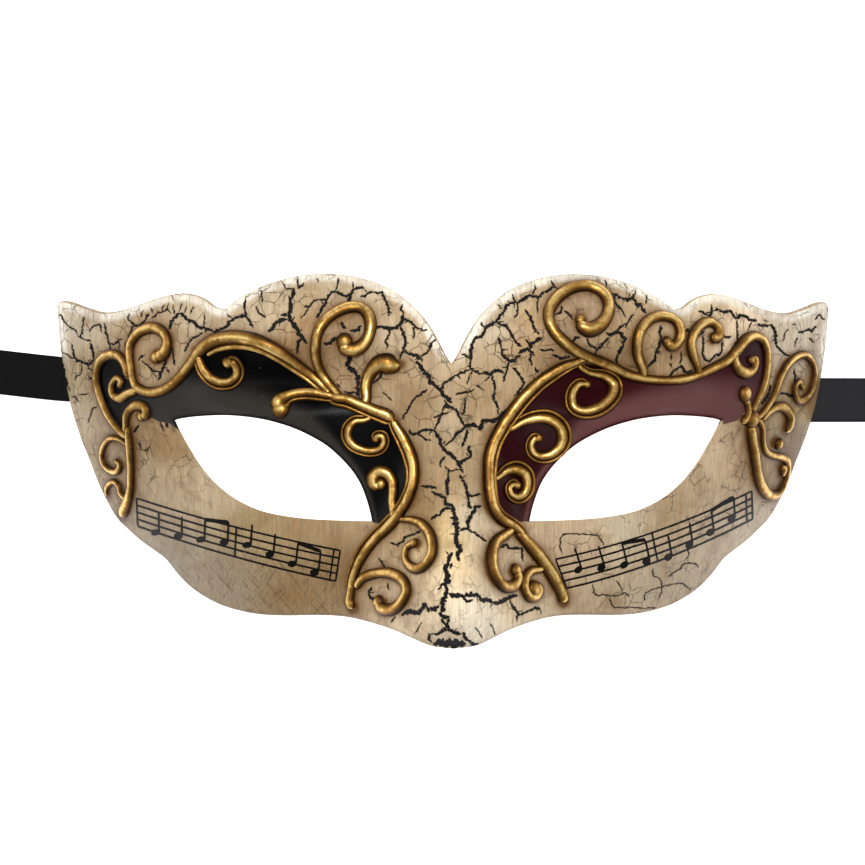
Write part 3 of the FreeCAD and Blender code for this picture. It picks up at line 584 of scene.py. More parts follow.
def hex_points(box, step):
    x0, y0, x1, y1 = box
    rows = np.arange(y0, y1, step * math.sqrt(0.75))
    columns = np.arange(x0, x1, step)
    x, y = np.meshgrid(columns, rows)
    x = x + (np.arange(len(rows)) % 2)[:, None] * 0.5 * step
    return np.stack([x.ravel(), y.ravel()], -1)


def fill_loops(loops, interior):
    """Triangles over the loops and the interior points, without what lies outside or in the holes."""
    points = np.vstack(loops + [interior])
    edges = []
    first = 0
    for loop in loops:
        n = len(loop)
        edges += [(first + i, first + (i + 1) % n) for i in range(n)]
        first += n
    result = delaunay_2d_cdt([Vector(p) for p in points.tolist()], edges, [], 0, 1e-6)
    triangles = np.array([f for f in result[2] if len(f) == 3])
    if len(result[0]) != len(points):
        print("points merged or added:", len(points), len(result[0]))
    back = np.array([o[0] if o else -1 for o in result[3]])
    triangles = back[triangles]
    triangles = triangles[(triangles >= 0).all(1)]
    edge_only = (triangles < first).all(1)
    middle = points[triangles].mean(1)
    keep = np.ones(len(triangles), bool)
    test = np.where(edge_only)[0]
    good = inside(middle[test], loops[0])
    for hole in loops[1:]:
        good &= ~inside(middle[test], hole)
    keep[test] = good
    triangles = triangles[keep]
    a, b, c = (points[triangles[:, k]] for k in range(3))
    area = (b[:, 0] - a[:, 0]) * (c[:, 1] - a[:, 1]) - (b[:, 1] - a[:, 1]) * (c[:, 0] - a[:, 0])
    triangles[area < 0] = triangles[area < 0][:, ::-1]
    return triangles[np.abs(area) > 1e-9]


# ---------------------------------------------------------------- relief, as in the CAD
# Bead paths on the flat drawing: (across, up, bead width)
BEADS = {
    "left_brow_vine": [(-73.9, 27.0, 3.0), (-72.0, 27.9, 2.8), (-71.2, 30.4, 2.3), (-72.2, 33.0, 2.3),
                       (-74.4, 34.3, 2.4), (-76.8, 34.1, 2.4), (-79.2, 32.6, 2.3), (-80.7, 30.0, 2.1),
                       (-80.9, 27.0, 2.0), (-80.5, 24.0, 1.9), (-80.2, 21.6, 1.9), (-79.2, 19.3, 2.0),
                       (-77.2, 18.0, 2.1), (-74.6, 17.7, 2.2), (-72.2, 18.4, 2.2), (-69.6, 20.0, 2.2),
                       (-67.3, 22.5, 2.2), (-65.2, 25.3, 2.3), (-63.0, 28.4, 2.6), (-60.0, 30.8, 2.8),
                       (-56.0, 31.9, 2.9), (-52.0, 31.8, 2.9), (-48.0, 31.0, 2.9), (-44.0, 29.2, 2.8),
                       (-40.0, 26.7, 2.6), (-36.3, 23.9, 2.3), (-33.2, 21.3, 2.0), (-31.2, 19.2, 1.6),
                       (-29.4, 17.2, 1.6)],
    "left_brow_vine_lower": [(-61.0, 27.4, 1.0), (-58.0, 28.9, 1.2), (-54.0, 29.6, 1.3),
                             (-50.0, 29.3, 1.3), (-46.5, 28.2, 1.3), (-43.0, 26.4, 1.3),
                             (-39.0, 23.8, 1.2), (-35.5, 21.2, 1.1), (-33.0, 19.0, 0.9),
                             (-31.2, 17.4, 0.9)],
    "left_hanging_curl": [(-64.0, 28.4, 1.8), (-63.2, 26.2, 2.2), (-62.0, 23.4, 2.8),
                          (-60.0, 21.1, 2.9), (-57.4, 19.8, 2.9), (-54.9, 20.0, 2.8),
                          (-53.2, 21.7, 2.6), (-52.9, 23.9, 2.6), (-53.9, 25.9, 2.7),
                          (-55.4, 26.0, 2.6)],
    "left_temple_spiral": [(-81.4, 22.0, 1.8), (-82.2, 25.0, 2.0), (-83.6, 27.0, 2.1),
                           (-85.6, 27.5, 2.2), (-87.6, 26.7, 2.2), (-89.2, 24.2, 2.1),
                           (-89.4, 20.3, 2.0), (-88.3, 16.3, 1.9), (-86.6, 12.3, 1.9),
                           (-84.2, 8.8, 1.9), (-81.6, 6.2, 1.7)],
    "left_temple_hook": [(-82.0, 7.6, 1.5), (-81.9, 9.3, 1.6), (-81.7, 11.7, 1.9), (-80.6, 13.7, 2.0),
                         (-78.8, 14.5, 2.1), (-77.0, 13.9, 2.2), (-76.5, 12.3, 2.4),
                         (-77.6, 11.6, 2.2)],
    "left_temple_stem": [(-81.4, 8.4, 1.6), (-81.2, 6.6, 1.8), (-80.9, 3.6, 2.0), (-80.7, 0.3, 2.0),
                         (-80.6, -3.0, 1.9), (-80.7, -6.2, 1.9), (-81.2, -9.3, 2.1),
                         (-82.2, -12.0, 2.5), (-83.0, -14.0, 2.6)],
    "left_side_curl": [(-81.8, 4.4, 1.0), (-83.4, 5.6, 1.0), (-85.8, 6.0, 1.3), (-87.4, 4.4, 1.3),
                       (-88.1, 1.8, 1.4), (-87.6, -0.6, 1.5), (-86.2, -2.2, 1.5), (-84.4, -2.7, 1.5),
                       (-83.4, -1.4, 1.4), (-84.0, 0.0, 1.1)],
    "left_side_hook": [(-86.7, -9.0, 1.0), (-86.9, -7.2, 1.2), (-86.1, -5.7, 1.3), (-84.8, -5.3, 1.3),
                       (-83.7, -6.4, 1.4), (-83.1, -8.4, 1.4), (-81.8, -9.6, 1.4)],
    "left_forehead_curl": [(-26.9, 16.2, 1.9), (-28.2, 18.0, 1.9), (-30.3, 20.8, 2.0),
                           (-32.0, 23.6, 2.1), (-33.0, 26.6, 2.1), (-33.2, 29.8, 2.2),
                           (-32.6, 33.0, 2.3), (-30.9, 35.8, 2.4), (-28.2, 38.0, 2.5),
                           (-25.0, 39.4, 2.6), (-21.9, 39.5, 2.6), (-19.8, 38.0, 2.6),
                           (-19.0, 35.4, 2.5), (-19.4, 32.6, 2.5), (-20.8, 30.3, 2.7),
                           (-23.0, 29.0, 3.0), (-25.2, 29.4, 3.2), (-26.2, 30.8, 3.2)],
    "left_forehead_leaf": [(-20.4, 14.4, 2.2), (-20.0, 16.6, 2.2), (-20.1, 18.8, 2.4),
                           (-19.7, 21.2, 2.5), (-18.5, 23.6, 2.9), (-16.6, 25.2, 3.8),
                           (-14.5, 25.2, 4.4), (-12.6, 24.8, 3.2), (-11.2, 25.0, 1.6)],
    "left_lid_leaf": [(-28.2, 16.2, 2.2), (-30.2, 16.3, 2.4), (-33.0, 16.8, 2.8), (-36.5, 16.9, 3.0),
                      (-39.6, 16.2, 3.2), (-41.8, 14.8, 4.4), (-42.3, 13.0, 4.8)],
    "left_nose_bar": [(-29.2, 16.4, 2.2), (-27.8, 15.6, 2.8), (-25.0, 15.2, 3.0), (-21.5, 13.9, 3.1),
                      (-18.0, 12.6, 3.2), (-15.0, 11.5, 3.3), (-13.0, 10.4, 2.6)],
    "left_inner_curl": [(-18.6, 11.8, 1.6), (-20.6, 10.9, 1.8), (-23.2, 10.6, 2.1), (-24.9, 8.8, 2.3),
                        (-25.1, 6.4, 2.3), (-23.8, 4.2, 2.3), (-21.5, 2.9, 2.3), (-18.8, 2.4, 2.2),
                        (-16.3, 3.0, 2.1), (-15.1, 4.9, 2.0), (-15.6, 6.7, 2.0), (-17.3, 6.8, 1.9),
                        (-17.9, 5.4, 1.8)],
    "left_nose_vine": [(-13.4, 10.6, 2.0), (-12.4, 8.6, 2.4), (-10.6, 5.6, 3.0), (-9.0, 2.2, 3.1),
                       (-8.0, -1.2, 3.2), (-7.9, -4.6, 3.1), (-8.7, -8.0, 3.0), (-10.2, -11.2, 3.0),
                       (-12.2, -14.2, 3.1), (-14.6, -16.8, 3.1), (-17.2, -19.2, 3.0),
                       (-19.6, -21.9, 2.9), (-21.5, -24.8, 2.8), (-22.8, -27.6, 2.6),
                       (-23.6, -30.4, 2.4), (-24.0, -32.6, 2.2)],
    "left_corner_curl": [(-12.9, -14.8, 1.6), (-13.0, -12.4, 1.9), (-13.2, -10.2, 2.0),
                         (-13.0, -7.6, 2.1), (-13.3, -5.1, 2.3), (-14.7, -3.2, 2.6), (-16.8, -2.8, 2.8),
                         (-18.2, -4.2, 2.8), (-17.9, -6.1, 2.6), (-16.3, -6.6, 2.2)],
    "left_flank_curl": [(-12.2, -15.0, 1.2), (-10.2, -15.1, 1.3), (-7.9, -15.3, 1.6),
                        (-5.4, -16.5, 2.0), (-3.6, -18.9, 2.3), (-2.8, -21.8, 2.5), (-3.2, -24.7, 2.5),
                        (-4.9, -27.0, 2.3), (-7.2, -27.8, 2.1), (-9.2, -26.6, 1.8), (-9.9, -24.4, 1.5),
                        (-9.3, -22.3, 1.5), (-7.6, -21.2, 1.5)],
    "left_nostril_curl": [(-22.6, -32.6, 1.7), (-20.8, -30.2, 2.0), (-17.4, -29.0, 2.1),
                          (-13.8, -29.0, 2.2), (-10.8, -30.5, 2.3), (-9.5, -33.2, 2.4),
                          (-10.8, -36.3, 2.5), (-13.4, -38.3, 2.6), (-16.0, -38.0, 2.6),
                          (-16.6, -36.2, 2.2)],
    "left_foot": [(-23.7, -31.6, 2.0), (-23.9, -33.6, 2.0), (-24.2, -36.0, 2.2), (-23.4, -38.1, 2.2)],
    "right_main_vine": [(20.4, -19.2, 2.4), (19.0, -17.6, 2.6), (16.8, -16.0, 2.9), (14.4, -14.5, 3.1),
                        (12.7, -12.0, 3.3), (11.9, -8.8, 3.4), (11.6, -5.4, 3.4), (11.6, -2.0, 3.4),
                        (11.9, 1.2, 3.4), (13.0, 4.6, 3.3), (14.7, 7.9, 3.3), (16.9, 11.2, 3.3),
                        (19.5, 14.5, 3.3), (22.4, 17.7, 3.2), (25.5, 20.6, 3.1), (28.8, 23.0, 2.9),
                        (32.0, 24.8, 2.6), (34.4, 25.6, 2.0), (36.6, 26.8, 2.0)],
    "right_forehead_curl": [(35.4, 35.9, 2.6), (35.9, 34.6, 3.0), (37.6, 34.0, 3.2), (39.8, 34.8, 3.0),
                            (41.6, 36.6, 2.7), (42.6, 39.2, 2.6), (42.2, 41.8, 2.6), (40.4, 44.0, 2.6),
                            (37.6, 45.2, 2.6), (34.6, 45.1, 2.6), (31.6, 43.9, 2.6), (28.9, 41.7, 2.6),
                            (27.3, 39.0, 2.5), (27.2, 36.2, 2.4), (28.6, 33.4, 2.4), (31.0, 31.0, 2.4),
                            (33.8, 28.9, 2.4), (37.0, 27.2, 2.4), (40.6, 25.8, 2.4), (44.0, 24.3, 2.3),
                            (47.2, 22.6, 2.2), (50.4, 21.6, 2.1), (54.0, 21.0, 2.0), (58.0, 20.8, 2.0),
                            (62.0, 21.2, 2.0), (66.0, 22.5, 2.0), (70.0, 24.4, 2.1), (73.4, 26.2, 2.2),
                            (75.8, 28.8, 2.5), (77.8, 31.2, 2.5), (80.2, 32.3, 2.2), (82.4, 31.4, 2.0),
                            (83.5, 28.8, 1.9), (83.7, 25.4, 1.9), (83.3, 21.8, 1.8), (82.2, 18.2, 1.8),
                            (80.8, 15.4, 1.6), (79.7, 12.6, 1.5)],
    "right_lid_spiral": [(34.8, 25.2, 1.6), (37.4, 23.4, 1.8), (41.4, 22.5, 2.6), (43.9, 20.2, 3.0),
                         (44.1, 17.2, 3.1), (42.3, 14.6, 3.0), (39.4, 12.9, 2.8), (36.0, 12.4, 2.6),
                         (33.3, 13.5, 2.6), (32.6, 16.0, 2.5), (33.2, 18.4, 2.4), (34.9, 20.1, 2.2),
                         (36.9, 19.8, 2.0)],
    "right_brow_curl": [(51.8, 22.0, 1.8), (51.3, 24.4, 2.0), (50.1, 27.6, 2.2), (49.9, 31.0, 2.3),
                        (50.8, 33.9, 2.3), (52.7, 36.2, 2.3), (55.3, 37.4, 2.3), (58.0, 37.2, 2.3),
                        (60.2, 35.8, 2.3), (61.1, 33.4, 2.3), (60.6, 31.1, 2.3), (58.9, 29.9, 2.3),
                        (57.3, 30.9, 2.2)],
    "right_temple_leaf": [(65.9, 22.8, 1.6), (65.4, 25.0, 1.8), (64.2, 28.0, 2.2), (63.9, 31.0, 2.3),
                          (65.0, 33.7, 2.3), (67.0, 35.6, 2.2), (69.2, 35.9, 2.1), (70.9, 34.4, 2.2),
                          (70.9, 32.4, 2.5), (69.7, 31.4, 2.2)],
    "right_lash_curl": [(75.0, 28.0, 1.6), (75.3, 25.4, 2.3), (76.5, 23.5, 2.7), (78.4, 22.8, 2.6),
                        (80.0, 23.8, 2.1), (80.6, 25.8, 1.8), (80.1, 27.2, 1.5)],
    "right_inner_spiral": [(15.8, 8.0, 1.6), (17.8, 9.0, 1.8), (20.4, 10.6, 2.4), (23.6, 11.5, 2.9),
                           (27.0, 11.4, 3.2), (30.0, 9.6, 3.2), (31.1, 6.6, 3.2), (30.2, 3.6, 3.0),
                           (27.8, 1.5, 2.7), (25.0, 0.9, 2.5), (22.8, 2.0, 2.3), (22.1, 4.2, 2.2),
                           (23.2, 6.2, 2.1), (24.7, 6.0, 2.0)],
    "right_nose_spiral": [(12.4, -4.8, 1.6), (14.2, -3.6, 1.8), (16.0, -2.2, 2.6), (18.6, -1.7, 3.3),
                          (21.0, -3.0, 3.3), (21.8, -5.6, 3.0), (21.1, -8.3, 2.7), (19.0, -9.7, 2.4),
                          (17.0, -9.0, 2.0), (16.4, -7.0, 1.9), (17.6, -5.8, 2.0), (18.9, -6.4, 2.0)],
    "right_flank_loop": [(17.6, -17.6, 1.7), (15.8, -19.0, 2.0), (13.6, -20.6, 2.4), (12.3, -23.2, 2.8),
                         (12.1, -26.4, 2.8), (13.1, -29.8, 2.8), (15.3, -32.3, 2.6), (17.8, -32.3, 2.4),
                         (18.9, -30.2, 2.4), (18.1, -28.5, 2.8)],
    "right_nostril_vine": [(18.6, -18.1, 2.2), (20.0, -19.6, 2.4), (22.2, -22.0, 2.8),
                           (24.6, -24.8, 2.9), (26.9, -27.9, 2.9), (28.8, -31.0, 2.8),
                           (30.3, -34.0, 2.6), (30.8, -36.4, 2.6)],
    "right_nostril_curl": [(26.2, -27.4, 1.4), (24.2, -28.0, 1.4), (22.3, -28.4, 1.9),
                           (20.9, -30.2, 2.2), (20.6, -32.8, 2.2), (21.8, -35.0, 2.3),
                           (23.6, -34.8, 2.3), (24.3, -33.0, 2.2), (23.0, -32.0, 2.2)],
    "right_cheek_loop": [(79.3, 9.2, 2.4), (79.5, 6.8, 2.6), (80.0, 3.6, 2.6), (80.5, 0.2, 2.5),
                         (81.1, -3.4, 2.5), (82.3, -6.6, 2.5), (84.0, -8.6, 2.4), (85.8, -8.8, 2.1),
                         (87.2, -7.4, 1.9), (88.4, -4.7, 1.8), (89.0, -1.8, 1.8), (88.7, 0.2, 1.8),
                         (87.2, 1.1, 1.7), (85.0, 1.6, 1.6), (83.2, 2.8, 1.5), (82.5, 5.4, 1.4),
                         (82.4, 8.6, 1.4), (81.4, 10.8, 1.5)],
    "right_wing_loop": [(81.0, 11.2, 1.5), (82.9, 13.2, 1.6), (84.7, 15.9, 1.7), (86.1, 19.0, 1.8),
                        (87.4, 22.4, 1.8), (89.2, 25.3, 1.8), (91.4, 27.1, 1.8), (93.7, 27.5, 1.7),
                        (95.4, 25.4, 1.6), (95.9, 22.2, 1.6), (95.3, 19.0, 1.6), (93.9, 16.5, 1.6),
                        (92.1, 15.6, 1.7), (90.9, 16.9, 1.6), (90.9, 19.4, 1.5), (91.9, 20.6, 1.3),
                        (92.6, 19.2, 1.3)],
    "right_wing_drop": [(82.4, 10.8, 1.4), (84.0, 12.8, 1.7), (86.2, 14.1, 2.0), (88.3, 13.7, 2.3),
                        (89.5, 11.8, 2.5), (89.4, 9.5, 2.4), (88.5, 7.4, 1.6)],
}
KNOBS = {
    "right_temple_knob": (77.6, 17.4, 2.2),
    "right_joint_knob": (79.4, 11.0, 2.4),
    "right_drop_knob": (86.4, 4.6, 1.6),
    "left_joint_knob": (-81.3, 8.2, 0.9),
}
TONGUE = [(87.7, -1.1, 2.2), (87.8, -2.6, 2.0), (87.5, -4.0, 1.2)]

# lacquer panels on the flat drawing; their borders lie under the beads
BLACK_PANEL = [(-15.2, -16.3), (-12.4, -14.0), (-9.8, -10.0), (-8.4, -5.5), (-8.4, -1.0), (-9.8, 3.6),
               (-12.3, 8.0), (-15.6, 11.4), (-19.5, 13.2), (-24.0, 14.8), (-28.5, 16.8), (-31.6, 20.0),
               (-36.0, 23.8), (-42.0, 28.0), (-48.0, 31.0), (-54.0, 31.9), (-60.0, 30.6), (-64.0, 26.8),
               (-67.3, 22.4), (-71.0, 19.0), (-75.0, 17.7), (-78.8, 18.6), (-80.6, 20.6), (-82.4, 21.4),
               (-83.0, 24.8), (-85.4, 26.8), (-88.2, 25.0), (-89.2, 21.0), (-88.6, 16.0), (-86.4, 11.4),
               (-83.4, 8.4), (-81.8, 8.8), (-81.5, 11.8), (-79.8, 14.0), (-77.4, 13.8), (-76.2, 11.8),
               (-73.6, 10.2), (-70.8, 9.9), (-66.0, 6.0), (-45.0, 2.0), (-30.0, -4.0), (-23.0, -12.0),
               (-20.0, -15.4)]
WINE_PANEL = [(24.0, -15.6), (19.6, -15.7), (16.6, -14.6), (13.6, -12.4), (12.2, -9.0), (11.8, -4.0),
              (12.2, 1.0), (13.6, 5.2), (16.2, 9.8), (20.0, 14.4), (25.6, 20.0), (31.0, 23.8),
              (36.0, 25.2), (41.0, 24.6), (46.0, 22.6), (52.0, 21.0), (59.0, 20.8), (65.0, 21.9),
              (70.0, 24.2), (74.0, 26.6), (76.6, 29.6), (79.0, 31.6), (81.6, 31.4), (83.2, 28.6),
              (83.5, 24.0), (82.6, 19.0), (81.0, 15.4), (78.2, 13.2), (75.8, 10.4), (72.4, 9.6),
              (66.0, 6.0), (45.0, 2.0), (32.0, -3.0), (26.0, -10.0)]


# second strokes of some pieces
BRANCHES = {
    "left_temple_spiral": [(-78.6, 18.4, 1.8), (-81.4, 17.4, 2.0), (-83.4, 16.2, 2.1),
                           (-85.3, 17.3, 1.8), (-85.5, 19.7, 1.6), (-84.2, 21.4, 1.5),
                           (-83.0, 20.6, 1.5), (-83.2, 19.4, 1.5)],
    "right_temple_knob": [(77.0, 9.9, 1.6), (78.4, 11.6, 1.9), (78.6, 13.8, 1.7), (78.0, 16.0, 1.8)],
}
# side of the path that carries a second, thin ridge: +1 is left of the way it runs
DOUBLE = {"left_hanging_curl": -1, "left_lid_leaf": 1, "left_nose_bar": -1, "left_inner_curl": -1,
          "left_nose_vine": -1, "right_main_vine": -1, "right_lid_spiral": 1, "right_inner_spiral": 1,
          "right_nose_spiral": 1}
# small balls at the ends of the curls: (across, up, radius)
BALLS = {
    "left_brow_vine": [(-73.9, 26.9, 1.7)],
    "left_hanging_curl": [(-55.6, 25.6, 1.6)],
    "left_temple_spiral": [(-83.2, 19.8, 1.1)],
    "left_temple_hook": [(-77.7, 11.7, 1.3)],
    "left_side_curl": [(-84.1, -0.1, 0.8)],
    "left_forehead_curl": [(-25.7, 31.1, 2.0)],
    "left_lid_leaf": [(-42.0, 13.2, 2.2)],
    "left_inner_curl": [(-17.6, 5.8, 1.1)],
    "left_corner_curl": [(-16.2, -6.0, 1.5)],
    "left_flank_curl": [(-7.3, -21.3, 1.2)],
    "left_nostril_curl": [(-16.5, -36.4, 1.7)],
    "right_forehead_curl": [(35.3, 36.3, 1.4)],
    "right_lid_spiral": [(36.8, 19.7, 1.2)],
    "right_brow_curl": [(57.5, 31.0, 1.3)],
    "right_temple_leaf": [(69.8, 31.9, 1.4)],
    "right_lash_curl": [(79.4, 26.2, 1.2)],
    "right_inner_spiral": [(24.5, 6.0, 1.2)],
    "right_nose_spiral": [(18.7, -6.3, 1.2)],
    "right_flank_loop": [(18.2, -28.4, 1.8)],
    "right_nostril_curl": [(22.7, -33.1, 2.2)],
    "right_wing_loop": [(92.6, 19.2, 0.8)],
}
BEAD_STEP = 0.34
BEAD_ACROSS = 21
TALL = 0.42
FLAT_SWELL = 1.22                        # how much wider than drawn a bead is on a level face
SLOPE_SLIM = 0.55                        # and how fast that goes as the face tilts


def stations(path, step):
    """Evenly spaced (u, v, width) along the soft curve through the path."""
    dense = hermite(path, 16)
    run = np.concatenate([[0], np.cumsum(np.linalg.norm(np.diff(dense[:, :2], axis=0), axis=1))])
    want = np.linspace(0, run[-1], max(6, int(round(run[-1] / step))) + 1)
    return np.stack([np.interp(want, run, dense[:, c]) for c in range(3)], -1), run[-1]


def wander(count, spacing, size):
    """A soft random wave with one knot each spacing samples."""
    knots = rng.normal(0, size, max(4, int(count / spacing) + 3))
    fine = hermite(knots[:, None], 8)[:, 0]
    return np.interp(np.linspace(0, len(fine) - 1, count), np.arange(len(fine)), fine)


def ridge_profile(q, double):
    """Height and crest across a bead, q from -1 at its right edge to 1 at its left; the crest sets the
    gold's painted shade and highlight.
    """
    if not double:
        h = np.maximum(0, 1 - np.abs(q) ** 2) ** 0.62
        return h, h
    p = q * double
    main = np.sqrt(np.maximum(0, 1 - ((p + 0.26) / 0.74) ** 2))
    thin = 0.60 * np.sqrt(np.maximum(0, 1 - ((p - 0.73) / 0.27) ** 2))
    floor = 0.20 * np.sqrt(np.maximum(0, 1 - p ** 2))
    h = (main ** 6 + thin ** 6 + floor ** 6) ** (1 / 6)
    crest = np.maximum(main, thin * 1.45) * np.where(h < 0.42, 0.6, 1.0)
    return h, crest


def sweep(path, double, lift=BEAD_LIFT):
    """Points, faces and crest values of one raised bead that follows the face."""
    rows, length = stations(path, BEAD_STEP)
    n = len(rows)
    x, y = onto_face(rows[:, 0], rows[:, 1])
    up = normal(x, y)
    wide = rows[:, 2] * 2.0 / (1.0 + up[:, 2])
    slope = up[:, :2]
    x = x - slope[:, 0] * 0.2 * wide * (1 - up[:, 2])
    y = y - slope[:, 1] * 0.2 * wide * (1 - up[:, 2])
    up = normal(x, y)
    middle = face_point(x, y)
    ahead = unit(np.gradient(middle, axis=0))
    side = unit(np.cross(up, ahead))
    near = np.minimum(np.arange(n), np.arange(n)[::-1]) * length / (n - 1)
    q_end = np.clip(near / (0.5 * rows[:, 2]), 0, 1)
    round_off = 0.22 + 0.78 * np.sqrt(np.maximum(0, 1 - (1 - q_end) ** 2))
    half = 0.5 * wide * (FLAT_SWELL - SLOPE_SLIM * (1 - up[:, 2])) * round_off * (1 + wander(n, 9, 0.022))
    tall = 2 * half * TALL * (1 + wander(n, 6, 0.03))
    q = -np.cos(np.pi * np.arange(BEAD_ACROSS) / (BEAD_ACROSS - 1))
    h, crest = ridge_profile(q, double)
    px = x[:, None] + side[:, 0:1] * half[:, None] * q
    py = y[:, None] + side[:, 1:2] * half[:, None] * q
    base = face_point(px, py, lift)
    points = base + up[:, None, :] * (tall[:, None] * h)[..., None]
    index = np.arange(n * BEAD_ACROSS).reshape(n, BEAD_ACROSS)
    a, b = index[:-1], index[1:]
    quads = np.stack([a, np.roll(a, 1, 1), np.roll(b, 1, 1), b], -1).reshape(-1, 4)
    faces = quads.tolist() + [index[0].tolist(), index[-1][::-1].tolist()]
    return points.reshape(-1, 3), faces, np.tile(crest, n), n


def dome(u, v, radius, lift=BEAD_LIFT, tall=0.75, rings=8, around=30):
    """A small rounded boss standing square to the face."""
    x, y = onto_face(np.array([u]), np.array([v]))
    up = normal(x, y)[0]
    across = unit(np.cross(np.array([0.0, 1.0, 0.0]), up))
    other = np.cross(up, across)
    points = []
    crest = []
    for k in range(rings):
        rho = math.cos(0.5 * math.pi * k / rings)
        for j in range(around):
            turn = 2 * math.pi * j / around
            d = (across * math.cos(turn) + other * math.sin(turn)) * radius * rho
            base = face_point(x + d[0], y + d[1], lift)[0]
            points.append(base + up * radius * tall * math.sqrt(1 - rho * rho))
            crest.append(math.sqrt(1 - rho * rho))
    points.append(face_point(x, y, lift)[0] + up * radius * tall)
    crest.append(1.0)
    faces = []
    for k in range(rings - 1):
        for j in range(around):
            a = k * around + j
            b = k * around + (j + 1) % around
            faces.append([a, b, b + around, a + around])
    last = (rings - 1) * around
    for j in range(around):
        faces.append([last + j, last + (j + 1) % around, rings * around])
    faces.append(list(range(around))[::-1])
    return np.array(points), faces, np.array(crest)


def join(*parts):
    points = []
    faces = []
    crest = []
    first = 0
    for p, f, c in parts:
        points.append(p)
        faces += [[i + first for i in face] for face in f]
        crest.append(c)
        first += len(p)
    return np.vstack(points), faces, np.concatenate(crest)


def gold_paint():
    paint = Paint("antique_gold_and_painted_light", Specular_IOR_Level=0.4, Metallic=0.78)
    crest = paint.math("POWER", paint.value("crest"), 1.5)
    grain = paint.noise(paint.place, 900.0, 5.0, 0.6)
    blotch = paint.noise(paint.place, 210.0, 4.0, 0.6, 0.4)
    level = paint.math("ADD", crest, paint.math("MULTIPLY_ADD", blotch, 0.7, -0.35))
    level = paint.math("ADD", level, paint.math("MULTIPLY_ADD", grain, 0.36, -0.18), clamp=True)
    # gold from dark brown at the feet to pale cream on the crest: antique patina in the hollows, painted
    # shade down the flanks and a painted highlight on the crest
    colour = paint.steps(level, (0.0, srgb(36, 21, 7)), (0.36, srgb(82, 53, 17)),
                         (0.64, srgb(122, 83, 32)), (0.88, srgb(176, 130, 58)), (1.0, srgb(240, 203, 126)))
    rough = paint.span(level, 0.2, 1.0, 0.62, 0.38, soft=False)
    pits = paint.cells(paint.stretch(1, 1, 1), 1500.0, "F1")
    relief = paint.math("MULTIPLY_ADD", grain, 0.10, paint.math("MULTIPLY", pits, 0.03))
    waves = paint.noise(paint.place, 420.0, 2.0)
    relief = paint.math("MULTIPLY_ADD", waves, 0.16, relief)
    return paint.done(Base_Color=colour, Roughness=rough, Normal=paint.bumps(relief, 0.55))


GOLD = gold_paint()


def make_relief():
    for name, path in BEADS.items():
        parts = [sweep(path, DOUBLE.get(name, 0))[:3]]
        if name in BRANCHES:
            parts.append(sweep(BRANCHES[name], 0)[:3])
        parts += [dome(*spec) for spec in BALLS.get(name, [])]
        points, faces, crest = join(*parts)
        points[:, 2] = np.maximum(points[:, 2], 0.03)
        new_piece(name + "_gilt", points, faces, [name], [GOLD], {"crest": crest},
                  crease=62)
    for name, spec in KNOBS.items():
        parts = [dome(*spec, rings=10, around=40)]
        if name in BRANCHES:
            parts.append(sweep(BRANCHES[name], 0)[:3])
        points, faces, crest = join(*parts)
        new_piece(name + "_gilt", points, faces, [name], [GOLD], {"crest": crest},
                  crease=62)
    points, faces, crest = sweep(TONGUE, 0)[:3]
    new_piece("right_drop_tongue_gilt", points, faces, ["right_drop_tongue"], [GOLD],
              {"crest": crest}, crease=62)


make_relief()


